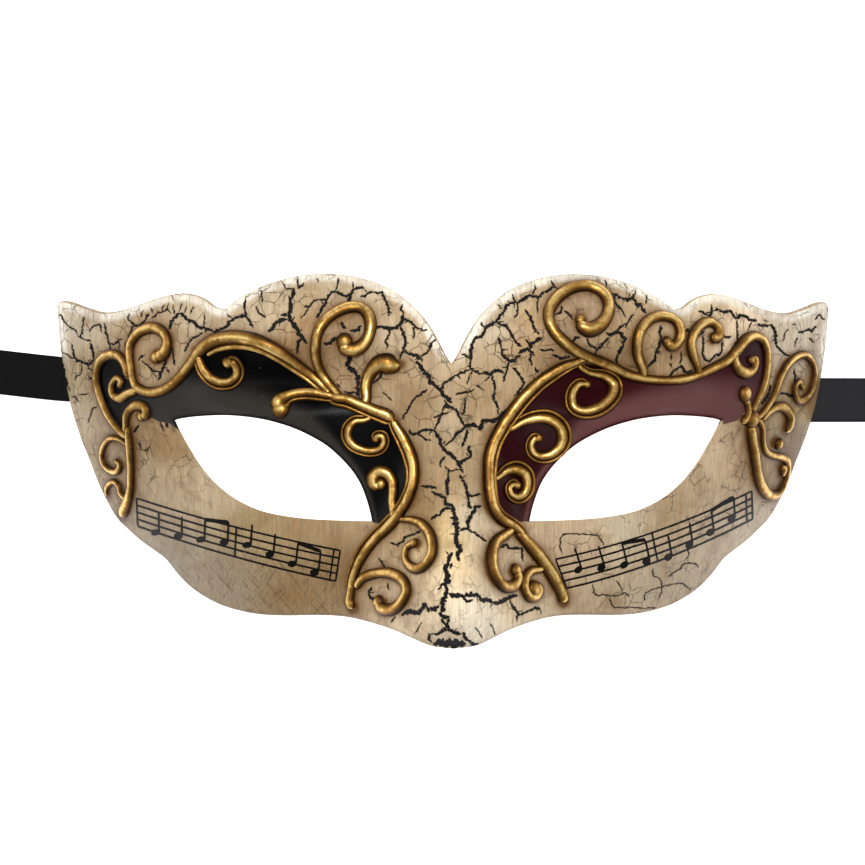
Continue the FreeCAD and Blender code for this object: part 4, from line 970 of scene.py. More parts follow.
# ---------------------------------------------------------------- paint crackle, set point by point
# (width, points) of each crack on the flat drawing, in millimetres
LEFT_BROW_CRACKS = [
    (0.30, [(-93, 37), (-93.1, 35), (-93.6, 32)]),
    (0.34, [(-94.5, 32.2), (-93.3, 31.6), (-92.4, 31.1), (-91, 30.9)]),
    (0.28, [(-99.6, 37.6), (-98.6, 37.3), (-97.9, 35.8), (-96, 34.1), (-95.2, 34), (-94.4, 32.6)]),
    (0.30, [(-91.6, 33.4), (-90.6, 34.6), (-88.8, 35.3), (-88.6, 34.2), (-88.3, 33.2)]),
    (0.38, [(-87.6, 35.4), (-87.4, 33.8), (-86.9, 32), (-86.4, 30.3), (-86, 28.3)]),
    (0.30, [(-86.3, 30.2), (-85.2, 30), (-84.3, 30.5), (-83.7, 31.3), (-82.8, 31.6)]),
    (0.22, [(-84, 30.6), (-83.8, 29.4), (-83.6, 28.4)]),
    (0.46, [(-91.2, 30.2), (-90.8, 28.4), (-90.2, 26.6), (-90.8, 25.4), (-91.8, 24.9), (-93, 25.3),
            (-94.6, 25.8), (-95.4, 26.9), (-95.8, 28.6), (-96, 30.2)]),
    (0.32, [(-91.9, 23.9), (-90.9, 23.5), (-90.3, 22.6), (-90.5, 21.4), (-91.3, 21.2), (-91.8, 21.9)]),
    (0.22, [(-93.4, 25), (-93.5, 23), (-93.9, 22), (-94.8, 22.2), (-95, 20.8)]),
    (0.34, [(-98.4, 29.2), (-98.9, 27.6), (-98.4, 25.4), (-98, 22.4), (-97.3, 19.8), (-96.4, 18)]),
    (0.24, [(-98, 27.9), (-97, 27.3), (-96, 26.6), (-95.4, 26.2)]),
    (0.22, [(-94, 16.9), (-92.8, 17.2), (-91.6, 17.2)]),
    (0.22, [(-96.1, 16.6), (-95, 16.3), (-94.2, 15.4)]),
    (0.25, [(-91.8, 9.8), (-91.2, 12.2), (-90.5, 13.8), (-89.6, 13.8)]),
    (0.30, [(-81.3, 38), (-81.6, 36.6), (-80.9, 35.9)]),
    (0.52, [(-80.9, 36.1), (-80.1, 35.1), (-79, 34.9), (-77.8, 35.4), (-77, 36.6), (-76.3, 37.9)]),
    (0.38, [(-80.1, 35), (-80.7, 33.6), (-81.3, 32.4), (-81.8, 30.6), (-82.4, 29.2)]),
    (0.34, [(-75.4, 36.8), (-74.6, 37.4), (-74.1, 38.4), (-72.6, 38.3), (-71.6, 39), (-70.4, 38.2)]),
    (0.62, [(-70.9, 34), (-70.6, 35.6), (-69.6, 37.2), (-68.4, 38.1), (-67.1, 37.4), (-66, 36.3),
            (-64.6, 35.9), (-63.9, 34.7), (-62.3, 34.3), (-60.6, 34), (-59.2, 33.2), (-57.8, 34),
            (-56.2, 34.5), (-55.2, 36), (-54, 37), (-52.6, 37.3), (-51.3, 37.4)]),
    (0.22, [(-72.8, 38.5), (-72.3, 40.3)]),
    (0.22, [(-71.5, 39), (-71.2, 40.8)]),
    (0.22, [(-69.6, 37.8), (-70.1, 40.4)]),
    (0.22, [(-68.5, 38.6), (-67.6, 40.8)]),
    (0.22, [(-67, 38.2), (-66.5, 39.8)]),
    (0.22, [(-65.5, 38), (-64.8, 39.8)]),
    (0.22, [(-75.2, 38.3), (-75.7, 39.4)]),
    (0.22, [(-78.4, 37.2), (-77.6, 38.9)]),
    (0.26, [(-61.8, 37.8), (-61.9, 36), (-61.9, 34.4), (-61.4, 33.2)]),
    (0.38, [(-66.9, 28.2), (-66, 30.2), (-65, 31.7), (-63.6, 32.2), (-62.4, 32.9)]),
    (0.35, [(-79, 25.8), (-78.2, 27), (-77.2, 27.3)]),
    (0.35, [(-78, 25.8), (-76.4, 24.6), (-75.3, 23.2), (-73.4, 22.9)]),
    (0.50, [(-73.7, 20.8), (-73, 22.6), (-72.2, 24.6), (-71.4, 26.4)]),
    (0.38, [(-70.2, 29.4), (-69.8, 26.6), (-69.4, 24.7)]),
    (0.28, [(-71.6, 24), (-70.8, 22.7)]),
    (0.28, [(-56, 38), (-55.6, 37.3), (-54.6, 37)]),
    (0.46, [(-51.2, 41.8), (-51.6, 39.6), (-51.2, 37.6), (-50.3, 36), (-49.2, 34.4)]),
    (0.26, [(-47.3, 44), (-47.1, 42.4), (-46.9, 41)]),
    (0.30, [(-48.5, 40), (-48, 38.2), (-46.9, 37.6), (-46.1, 36.8)]),
    (0.90, [(-38.8, 44.6), (-39.2, 42.6), (-39.9, 41.2), (-39.6, 39.4), (-40.2, 37.9), (-39.7, 36.4),
            (-38.6, 35), (-37.4, 33.3), (-36.6, 31.8), (-35.4, 30.2)]),
    (0.75, [(-42.2, 37.7), (-41, 37.8), (-40.2, 37.6)]),
    (0.85, [(-40.6, 36.6), (-42.6, 36.3), (-43.8, 35.2), (-44.5, 34), (-45.4, 33.4)]),
    (0.55, [(-36.8, 31.4), (-37.6, 30.9), (-37.8, 29.4), (-37.9, 27.6)]),
    (0.32, [(-38.8, 44.6), (-40.2, 44.3), (-41, 44.6), (-41.5, 46)]),
    (0.35, [(-38.1, 47), (-37.8, 46), (-37.6, 44.6), (-36.8, 45.3), (-36.3, 46)]),
    (0.24, [(-33, 47.2), (-32.6, 46.2)]),
    (0.38, [(-36, 39.7), (-34.6, 40.1), (-33.7, 41.5), (-32, 41.6), (-30.6, 41.7)]),
    (0.24, [(-34.8, 39.6), (-35.8, 38.3), (-37, 36.8)]),
    (0.56, [(-32.8, 37), (-31.4, 39.6), (-30.4, 41.2), (-29.9, 42.8), (-28.7, 43.9), (-27.7, 43.7),
            (-26.6, 42.9), (-25, 42.7), (-24, 43.4), (-23.5, 44.3), (-21.8, 44.8), (-20.8, 44.7)]),
    (0.34, [(-27.9, 44), (-27.6, 45.2), (-27.2, 47.2)]),
    (0.30, [(-23.4, 44.6), (-23.6, 46.2)]),
    (0.60, [(-24, 43.1), (-24.2, 42), (-24.9, 41.2)]),
    (0.44, [(-21.6, 42.3), (-20, 43), (-18.8, 43.7), (-17.3, 43.4), (-16.1, 43.7), (-15.5, 42.2),
            (-14.8, 40.8), (-14.2, 38.8), (-14.4, 37.6)]),
    (0.72, [(-18, 34.4), (-16.7, 34.8), (-15.4, 34.6), (-13.9, 34.2), (-12.4, 34.5), (-11.3, 35.4),
            (-10.6, 36.7), (-10.4, 38)]),
    (0.38, [(-10.4, 38), (-11, 39.2), (-10.9, 40.5)]),
    (0.42, [(-10.5, 36.8), (-9, 36.3), (-7.9, 35.2), (-6.7, 34.3), (-5.4, 33.7), (-4.4, 33.9)]),
    (0.34, [(-13.9, 34.1), (-13.9, 33), (-14.6, 31.8), (-15.2, 31), (-14.7, 30), (-14.9, 29.2)]),
    (0.54, [(-11.2, 34.9), (-10.6, 33.2), (-10, 31.4), (-10.2, 29.6), (-10.6, 28.2), (-11.3, 27.2),
            (-11.2, 26)]),
    (0.30, [(-8, 34.6), (-7.6, 33.2), (-8, 31.6)]),
    (0.68, [(-10.3, 28.5), (-9, 27.8), (-7.4, 27.3), (-6.1, 26.8), (-5.6, 25.9)]),
    (0.40, [(-6, 27), (-4.5, 27.7), (-3.7, 29.4), (-3, 30.8), (-2, 31.5)]),
    (0.90, [(-7.2, 25.8), (-6.1, 24.4), (-5, 22.9), (-3.9, 22), (-3.8, 20.9), (-2.7, 19.8), (-1.4, 19),
            (-0.6, 18), (-0.2, 17), (0.8, 16.3), (1.8, 15.2)]),
    (0.42, [(-0.6, 18.4), (-0.2, 20), (1.6, 21.2), (4.2, 22.7), (6.8, 23.7)]),
    (0.42, [(-4.5, 18.5), (-5.8, 17.3), (-7.5, 16.3), (-8.5, 15), (-9.2, 13.3), (-10.9, 11)]),
    (0.95, [(-24.4, 27.6), (-24.3, 26.2), (-25, 25.1), (-24.4, 24), (-23.4, 23.2), (-22.3, 21.8),
            (-22.3, 19.6), (-22.4, 17.8), (-22, 16.4)]),
    (0.58, [(-26.5, 36), (-26.2, 35), (-25.3, 34)]),
    (0.62, [(-24.2, 33.7), (-22.8, 33.7), (-22, 34.1), (-21.7, 35)]),
    (0.72, [(-31.1, 30.2), (-29.6, 30.3), (-28.4, 31.4), (-27.4, 31.8)]),
    (0.42, [(-25.8, 17.9), (-24.5, 17.6), (-22.8, 17.8)]),
    (0.36, [(-27.9, 19.9), (-26.8, 19.2)]),
    (0.46, [(-15.8, 23.2), (-16.6, 21.6), (-18.2, 20.2)]),
    (0.26, [(-15.8, 17.8), (-14.6, 16.6), (-13.5, 15.6)]),
    (0.42, [(2.2, 14.1), (0.6, 14.4), (0.1, 15.9)]),
    (0.40, [(0, 14.3), (-0.7, 12.2), (-1.7, 9.6), (-2.6, 8.1)]),
    (0.30, [(1.4, 12.6), (-0.6, 12), (-2.8, 11.3)]),
]
NOSE_CRACKS = [
    (0.52, [(-2.7, 8), (-4.4, 8.1), (-6, 7.8), (-7, 6.9), (-8.2, 6.7), (-9, 7.8)]),
    (0.36, [(-7, 6.9), (-5.6, 6.2), (-4.6, 5.4), (-3.2, 5.5)]),
    (0.74, [(-2.7, 7.9), (-1.8, 6.7), (-1, 5.4), (-0.9, 4.2), (0, 3), (0.7, 2), (2, 1.7), (2.9, 0.5),
            (3.8, -0.8), (4.4, -1.9), (5.1, -2.9)]),
    (0.36, [(4.2, 7.8), (3, 6.4), (1.6, 4.9), (0.4, 4.1)]),
    (0.46, [(0.3, 1.2), (-0.6, 0.2), (-1.1, -0.4), (-0.6, -1.6)]),
    (0.32, [(4, -2.2), (2.2, -2.5), (0.8, -2.2), (0.2, -1.4)]),
    (0.72, [(1.2, -3), (1, -4.6), (0.7, -6.6), (1, -8.6)]),
    (0.50, [(-6, -6.5), (-4, -6.5), (-2, -6.9)]),
    (0.56, [(-3.2, -8), (-1.7, -8.6), (-0.6, -9.3), (0.3, -9.6), (0.3, -11.2), (2.3, -11.2)]),
    (0.62, [(-3.6, -15.1), (-2.4, -14.5), (-1.1, -13.7), (-0.3, -12.6), (1, -12.2), (2.1, -12.4)]),
    (1.25, [(2, -11.4), (2.5, -13.2), (2.6, -15), (3.5, -17), (3.4, -18.6), (2.9, -20), (3.6, -22),
            (4.2, -22.9), (3.6, -24.2), (3.9, -25.6)]),
    (1.20, [(2.1, -23.9), (1.2, -25), (0.9, -26.4), (0.3, -27.6), (0.8, -29.2), (0.8, -30.8),
            (0.2, -32), (0.6, -33.6), (0.3, -35), (-0.5, -36.4), (-0.3, -38), (-0.9, -39.6)]),
    (0.72, [(2.2, -26.4), (1.7, -27.6)]),
    (0.42, [(-1.6, -33.5), (-1, -32.4), (0, -31.6)]),
    (0.82, [(9.6, -11.6), (8.2, -11.8), (7.7, -13.2), (6.8, -14.6), (6.2, -16.2), (6.2, -17.6)]),
    (0.52, [(4.2, -18.2), (5.4, -17.2), (6.4, -17.9), (7.6, -18.3), (9, -19.3), (10.2, -20.1),
            (11.1, -20.8)]),
    (0.68, [(4.2, -3.8), (5, -5), (5.8, -6.6), (6.1, -8), (6.2, -9.4), (6.5, -11), (7, -12.2)]),
    (0.46, [(6.3, -9.2), (7.6, -8.9), (9.6, -8.5)]),
    (0.62, [(6.6, 4), (6.4, 2.8), (7.1, 1.8), (6.6, 0.8), (5.2, 0.2), (4, -0.6)]),
    (0.94, [(1.3, -34.4), (3, -34.9), (4.6, -35), (6.4, -34.6), (8.6, -34.6), (9.8, -35.9), (11.8, -36),
            (13.6, -36.9), (15.4, -36.1), (17, -35.3), (18.8, -34.6)]),
    (0.62, [(4.8, -35.3), (6, -36.3), (7.3, -35.9)]),
    (0.94, [(-1.4, -37.4), (-2.6, -38.7), (-4, -38.2), (-5, -37.1), (-5.8, -38.4), (-7, -39.4),
            (-8.5, -38.6), (-9.8, -39.2), (-11, -40)]),
    (0.85, [(-1.3, -39.4), (0.3, -40.6), (1.4, -40.4)]),
    (0.62, [(-0.8, -41), (0.5, -42.3)]),
    (0.74, [(1.3, -40.8), (0.7, -42.4), (0, -43.8), (-1.4, -44.6), (-3, -44.9)]),
    (0.84, [(0.9, -42.4), (1.5, -43.8), (2.8, -44.4), (4.3, -44.8)]),
    (0.74, [(4.8, -44.4), (5.7, -46), (7.6, -47.4), (9.4, -47.6)]),
    (0.52, [(-3.9, -44.6), (-3.8, -46.2), (-3.2, -47)]),
    (2.30, [(-2.4, -47.3), (0.6, -47.2), (3.4, -47.2), (5.4, -47.3)]),
    (0.22, [(-5.8, -41.5), (-7.5, -44.6)]),
    (0.22, [(8, -43), (10, -45.8)]),
    (0.22, [(12, -42), (13.3, -45)]),
    (0.42, [(-12.6, -40), (-13.4, -41.6)]),
    (0.46, [(-14.7, -31.5), (-14.3, -33.3)]),
    (0.56, [(-18.7, -32.6), (-19.6, -34), (-18.8, -35.5), (-17.6, -35.8)]),
    (0.32, [(-17, -25), (-16.1, -26.2), (-15.3, -27.5)]),
    (0.40, [(-5.9, -18), (-7.5, -18.8), (-9, -19.3), (-10.3, -20), (-11.1, -21), (-12.2, -21.8),
            (-13.8, -21.1)]),
    (0.52, [(17, -36), (18, -37.8), (19.2, -39.5), (20.6, -39.5), (22.4, -38.6), (24.8, -37.9)]),
    (0.42, [(19, -39.6), (18.8, -41.6)]),
    (0.26, [(24.9, -38), (25, -39.6)]),
    (0.56, [(14.6, -22.3), (16, -21.5), (17.3, -22.7), (19, -22.4), (20.2, -22.6), (20.1, -24),
            (20.5, -25.4)]),
]
RIGHT_BROW_CRACKS = [
    (0.58, [(6.8, 23.9), (6.9, 26), (7.1, 28.6), (7.4, 30.6), (8.1, 31.9), (9.7, 32.3), (10.5, 33.5),
            (10.8, 34.6), (12.1, 35), (13.5, 36.2), (14.4, 37.4), (15.5, 38.8), (16, 40), (17.2, 40.9),
            (19.5, 41.1), (20.6, 41.8), (22, 42.7), (23.4, 42.6), (24.5, 42.2), (25.4, 43.5),
            (27, 44.1), (28.2, 45)]),
    (0.36, [(4.5, 27.8), (5.9, 27.2), (6.9, 26.2)]),
    (0.32, [(9.4, 35.9), (10.4, 34.8)]),
    (0.28, [(13.8, 40.5), (15, 39.3)]),
    (0.32, [(17.6, 43.2), (17.9, 42.2), (18.6, 41.2)]),
    (0.30, [(22.8, 43), (23.7, 44.5), (23.6, 45.5)]),
    (0.46, [(13.5, 36), (14.6, 35.3), (16, 35), (17, 33.5), (17.8, 32), (18.8, 30.4), (20, 29.6)]),
    (0.36, [(19.2, 41), (19, 39.5), (19.1, 38), (18, 37)]),
    (0.30, [(24.5, 42), (24.1, 40.2), (24.2, 38.4)]),
    (0.54, [(21, 39.2), (22.2, 37.5), (23, 35.5), (23.7, 33.7), (24.4, 32.7)]),
    (0.42, [(14, 32), (14.7, 30.3), (15, 28.6), (15, 27.3)]),
    (0.68, [(15, 27.3), (16.2, 26.5), (16.9, 25.8), (18, 25.8), (18.7, 26.8), (19.8, 27.2)]),
    (0.84, [(19.3, 27.9), (20.5, 28.5), (22.2, 28.9), (22.3, 30.1), (23.6, 30.9), (25.4, 31.9)]),
    (0.42, [(21.3, 31.4), (22.2, 30.3)]),
    (0.46, [(22.4, 28.8), (23.3, 27.3)]),
    (0.46, [(22.5, 28.4), (22.4, 26.4), (22.8, 24.7)]),
    (0.40, [(23.5, 24.4), (23.6, 23.5), (24.7, 22.8)]),
    (0.42, [(16.8, 25.8), (16.5, 24), (15.9, 22.4), (15.3, 20.7)]),
    (0.52, [(18.2, 24), (19.2, 22.8), (20.1, 21.5), (20.8, 20.2), (20.1, 19), (19.3, 17.8),
            (18.4, 16.7)]),
    (0.54, [(6.8, 23.7), (8, 23.3), (9.6, 22.5), (10.5, 23), (12, 22.2), (12.8, 23.2), (14.5, 23.4),
            (15.6, 22.8)]),
    (0.34, [(7.4, 23.1), (6.4, 21.8), (6, 20)]),
    (0.40, [(12.3, 22), (13, 20.2), (13.2, 18.3), (12.8, 16), (13.8, 14.3), (14.5, 13)]),
    (0.24, [(12, 22), (10.6, 20.8)]),
    (0.34, [(3, 17.2), (4.6, 17.6), (6.6, 17.8), (8, 18.6)]),
    (0.30, [(8.3, 19.5), (9.3, 19), (10.5, 18.2)]),
    (0.58, [(0, 14.1), (1.8, 13.8), (3.1, 13.2), (4, 11.6), (4.6, 10.4), (5.3, 9.2)]),
    (0.36, [(5.5, 16.2), (5.4, 14.2), (5.2, 12.6), (4.6, 11.9)]),
    (0.94, [(2.8, 6.5), (4.3, 7.7), (5.4, 8.9), (6.6, 9.3), (8.4, 9), (9.5, 8.5), (10.3, 10),
            (11.2, 10.6), (12.6, 10.3), (14, 10.8), (15.2, 12.1), (16.4, 13.3)]),
    (0.52, [(5.9, 8.2), (5.8, 6.2), (5.1, 5), (4.6, 3.8)]),
    (0.34, [(24.8, 28.8), (26.5, 28.5), (27.8, 28.9), (28.6, 28.2)]),
    (0.58, [(28, 27.3), (29.4, 26.9), (30.4, 26.4), (31.7, 26.7), (32.6, 26.9)]),
    (0.44, [(28.8, 37.8), (29.8, 38.3), (30.5, 38.6), (30.2, 40.2)]),
    (0.56, [(31.3, 38.8), (32.4, 38), (33.4, 36.8)]),
    (0.48, [(33.3, 30.5), (34, 31.8), (35.2, 32)]),
    (0.40, [(27.7, 46.6), (28.6, 45), (29.8, 44.6), (31, 44.8), (32.3, 45.6), (34.5, 45.9)]),
    (0.60, [(41, 45.5), (42.4, 43.9), (43.2, 43), (44.3, 43.3), (45.2, 42.4), (46.4, 42), (47.6, 41.7),
            (49, 42.2), (49.8, 40.8), (51, 40.2), (51.8, 39.1), (52.4, 38.3)]),
    (0.44, [(44.1, 43), (44.2, 41), (45.3, 40), (46.3, 38.6), (47, 37.2)]),
    (0.30, [(49, 42.2), (49.7, 44.2)]),
    (0.26, [(52.7, 43), (52.3, 40.6)]),
    (0.30, [(41.6, 47), (42, 45.8), (42.4, 45)]),
    (0.62, [(42, 33.3), (43.2, 32.5), (44.5, 33.3), (45.9, 33), (46.8, 31.6), (46.6, 30), (45.8, 28.7),
            (45.2, 27.5), (44.4, 26.5), (45, 25.3)]),
    (0.42, [(44.8, 33.5), (45.8, 34.7), (46.8, 35.5)]),
    (0.34, [(47, 34.8), (48, 36.6), (49, 38)]),
    (0.52, [(42.8, 32), (41.7, 31), (41, 29.7), (39.8, 29), (39.3, 28.2), (38.7, 27)]),
    (0.40, [(39.7, 29), (38, 29.7), (37.2, 30.6), (37, 31.8)]),
    (0.62, [(56.2, 35), (56, 33.4), (56.3, 32), (56.2, 30.5), (55.3, 29), (54.9, 27.5), (54.6, 26),
            (53.8, 25.5), (52.8, 24.4)]),
    (0.32, [(58.9, 28), (58.9, 26.3)]),
    (0.32, [(58.4, 25.2), (59.3, 24.1)]),
    (0.44, [(58.5, 22.1), (59.3, 23), (60.5, 24), (61.6, 24.6), (62.2, 23.4), (63.2, 22.9),
            (64.6, 23.5)]),
    (0.30, [(61.5, 28.4), (61.4, 25.2)]),
    (0.48, [(62.3, 33.5), (63.2, 34), (63.6, 33)]),
    (0.46, [(66, 38.8), (67.4, 38.5), (68.7, 37.6), (69.5, 38.6), (69.3, 40.5)]),
    (0.56, [(70, 39), (71, 39.3), (72, 38.7), (73.1, 38.5), (74, 39), (75, 37.8), (76, 36.8),
            (76.8, 37.7), (78, 37.7), (79, 36.8), (80, 36.3), (81, 36.5)]),
    (0.54, [(81.3, 35.3), (82.6, 35), (84.5, 35.2), (85.5, 34.5), (86.1, 33), (86.2, 31), (86.5, 29.5),
            (87.5, 28.5), (88.5, 27.6), (89.8, 27.4)]),
    (0.40, [(76, 36.5), (76, 34), (76.2, 31.2), (75.4, 30.3)]),
    (0.30, [(79.7, 36), (79.2, 34.6), (78.8, 33.5)]),
    (0.46, [(72.3, 32.7), (73.2, 32), (74.4, 32.1)]),
    (0.44, [(66.3, 32.5), (67.4, 33.7)]),
    (0.44, [(67.2, 32.5), (67.2, 30), (67, 28), (67.6, 26.3), (68.6, 25.8), (69.6, 26.4), (70.4, 27.5),
            (71.5, 27.3), (71.9, 28.6), (72.3, 31)]),
    (0.68, [(82.3, 14.7), (83.4, 16.1), (84.4, 18), (84.7, 19.6)]),
    (0.55, [(87.2, 17.5), (88.5, 17.5), (89.9, 16.8), (91, 16.7)]),
    (0.46, [(90.8, 24), (91.2, 21.2), (91, 19)]),
    (0.48, [(92, 33.3), (94.2, 33.9), (94.8, 34.1), (95.6, 33.4), (96.3, 34.9)]),
    (0.30, [(91.8, 32), (91.2, 30.8), (91, 29.5)]),
    (0.24, [(89.3, 34.2), (88.5, 33.2), (88, 31)]),
    (0.24, [(90.2, 35.4), (91.3, 35.2)]),
    (0.32, [(96.3, 36.6), (97, 37.4), (97.6, 37.7), (98.2, 37), (98.9, 36.9)]),
    (0.30, [(99.2, 38.6), (99.9, 39.6)]),
    (0.26, [(94.8, 31.9), (95.6, 31.2), (96, 30.6)]),
    (0.28, [(83.1, 36.6), (84, 36.2)]),
]
CHEEK_CRACKS = [
    (0.46, [(-78.8, 9.2), (-79.6, 8), (-80.2, 7.4)]),
    (0.32, [(-78.8, 4.8), (-78.3, 4), (-78.2, 2.8)]),
    (0.24, [(-77.6, 2.8), (-76.6, 2.9), (-75.8, 3.7)]),
    (0.60, [(-73.6, 13.8), (-72.8, 11.4), (-71.6, 9.4), (-71.4, 8.6)]),
    (0.50, [(-73.2, 10), (-72.8, 8.6), (-72.4, 7.6)]),
    (0.20, [(30.6, -24), (30, -22), (30.1, -20), (31, -19), (33, -18.8), (35.5, -19), (39.5, -19.1),
            (40.6, -20.2), (41.5, -22)]),
    (0.22, [(38.5, -32), (39, -34.5), (39.7, -35), (41.2, -34.5), (42.8, -34.8), (44.5, -35.1),
            (46, -34.6), (47, -34), (48, -35.2)]),
    (0.20, [(44.5, -31), (45.6, -32.3), (46, -33.8)]),
    (0.20, [(43, -35.5), (43.3, -36.8), (43.8, -37.8), (46, -38), (49, -38), (52, -38.2), (55, -38)]),
    (0.22, [(58, -29.8), (59.7, -28.9), (61.3, -27.8), (62, -26.8), (63.3, -26.3), (65, -26.5),
            (66, -27.5)]),
    (0.20, [(51.8, -36.2), (52, -34.4), (53.5, -33.5), (55.5, -32.8), (57.5, -32.2), (60, -31.8),
            (62, -31.8), (63.8, -33.3)]),
    (0.20, [(55.4, -35.8), (56.3, -34), (56.4, -32), (55.9, -30.5), (54, -29.5), (54, -27.8)]),
    (0.20, [(63, -22), (63.5, -24), (62.8, -25.8)]),
]
# colours of the ground: (across, up, red, green, blue), the last three as on a paint chart; besides the
# paint's tone and stains they hold painted light and shade, the bright points down the nose ridge and tip
# being a painted highlight
GROUND_AND_LIGHT = [(-96, 36, 196, 180, 154), (-93, 24, 196, 173, 138), (-90, 4, 180, 158, 126),
          (-84, -11, 170, 150, 122), (-76, 31, 186, 158, 120), (-62, 37, 196, 176, 144),
          (-46, 41, 196, 175, 142), (-36, 33, 174, 141, 99), (-26, 35, 154, 122, 82),
          (-24, 44, 214, 196, 164), (-14, 34, 206, 182, 146), (-3, 28, 186, 158, 118),
          (4, 20, 180, 153, 114), (-1, 7, 170, 146, 110), (-7, 12, 168, 140, 102),
          (6, 6, 184, 158, 120), (2, -6, 178, 150, 111), (7, -15, 218, 198, 166),
          (-1, -20, 246, 214, 152), (1, -25, 240, 212, 164), (-5, -13, 162, 130, 86),
          (-2, -32, 240, 216, 176), (8, -40, 242, 228, 202), (-8, -38, 222, 198, 162),
          (-17, -28, 180, 152, 116), (15, -26, 206, 182, 148), (19, -37, 214, 190, 154),
          (14, 38, 196, 179, 148), (22, 34, 186, 152, 108), (31, 38, 176, 150, 118),
          (36, 41, 184, 158, 126), (47, 30, 176, 148, 108), (56, 28, 184, 154, 114),
          (66, 40, 220, 198, 160), (78, 36, 246, 218, 182), (88, 32, 210, 193, 166),
          (97, 36, 206, 190, 166), (92, 12, 184, 158, 112), (91, 1, 128, 114, 92),
          (94, 6, 140, 122, 96), (85, -11, 190, 170, 144), (60, -14, 182, 158, 124),
          (45, -17, 198, 180, 150), (32, -21, 192, 166, 134), (40, -36, 184, 162, 132),
          (60, -31, 174, 153, 124), (74, -20, 196, 176, 150), (80, -2, 188, 158, 120),
          (-50, -17, 168, 146, 108), (-36, -19, 162, 135, 98), (-27, -28, 140, 112, 74),
          (-40, -34, 150, 124, 88), (-56, -30, 150, 129, 99), (-70, -26, 158, 143, 119),
          (-76, -3, 184, 160, 126), (-72, 5, 164, 134, 92), (-60, -8, 196, 174, 142),
          (70, 3, 205, 180, 146)]
BLACK = srgb(9, 8, 8)
WINE = srgb(42, 6, 11)


def rough_line(points, width, size=0.11, step=0.07):
    """Jagged samples (u, v, half width) along one crack."""
    p = even(points, 0.34, closed=False)
    shift = rng.normal(0, size, (len(p), 2))
    shift[0] *= 0.3
    p = p + shift
    fine = even(p, step, closed=False)
    n = len(fine)
    edge = 1 + 0.34 * np.interp(np.linspace(0, 1, n), np.linspace(0, 1, max(3, n // 4)),
                                rng.normal(0, 1, max(3, n // 4)))
    run = np.arange(n) * step
    tip = np.minimum(1, 0.35 + 0.65 * np.minimum(run, run[::-1]) / max(0.6, width))
    return np.column_stack([fine, 0.5 * width * np.clip(edge, 0.35, 1.8) * tip])


def all_cracks():
    samples = []
    for group in (LEFT_BROW_CRACKS, NOSE_CRACKS, RIGHT_BROW_CRACKS, CHEEK_CRACKS):
        for width, points in group:
            line = rough_line(points, width)
            samples.append(line)
            if width < 0.4:
                continue
            for k in range(int(len(line) / 70)):
                root = line[rng.integers(4, len(line) - 4)]
                way = rng.uniform(0, 2 * math.pi)
                reach = rng.uniform(0.5, 1.7)
                end = (root[0] + reach * math.cos(way), root[1] + reach * math.sin(way))
                samples.append(rough_line([root[:2], end], 0.20, 0.08))
    return np.vstack(samples)


def ground_and_light_tone(u, v):
    table = np.array(GROUND_AND_LIGHT, float)
    total = np.zeros((len(u), 3))
    weight = np.zeros(len(u))
    for row in table:
        w = 1.0 / (((u - row[0]) ** 2 + (v - row[1]) ** 2) + 12.0) ** 1.7
        total += w[:, None] * srgb(*row[2:])
        weight += w
    return total / weight[:, None]


# (distance from the middle, up): the lacquer covers the rim of an eye hole above this line
PAINTED_RIM = [(16.0, -16.4), (19.5, -14.0), (30.0, -4.5), (45.0, 3.0), (67.0, 8.0), (70.5, 10.0),
               (72.0, 10.4)]
MIDDLE_U = -1.5


def hole_paint(u, v):
    """How far the rim of an eye hole is painted, as black and wine shares."""
    limit = np.interp(np.abs(u - MIDDLE_U), *zip(*PAINTED_RIM))
    upper = ramp01(v - limit, -0.3, 0.3)
    left = upper * ramp01(-u, 12.5, 13.5) * ramp01(u, -73.5, -72.5)
    right = upper * ramp01(u, 14.5, 15.5) * ramp01(-u, -76.0, -75.0)
    return left, right


SHELL_BOX = (-101, -46.5, 101, 47.5)
RIM_STEP = 0.5
COARSE_MESH = 0.54
FINE_MESH = 0.27
BACK_MESH = 1.7
NEAR_CRACK = 0.42                        # the fine mesh reaches this far from a crack
CRACK_DEPTH = 0.34
CRACK_LIP = 0.06
TABLE_GAP = 0.02
RIBBON_ROOM = 0.40


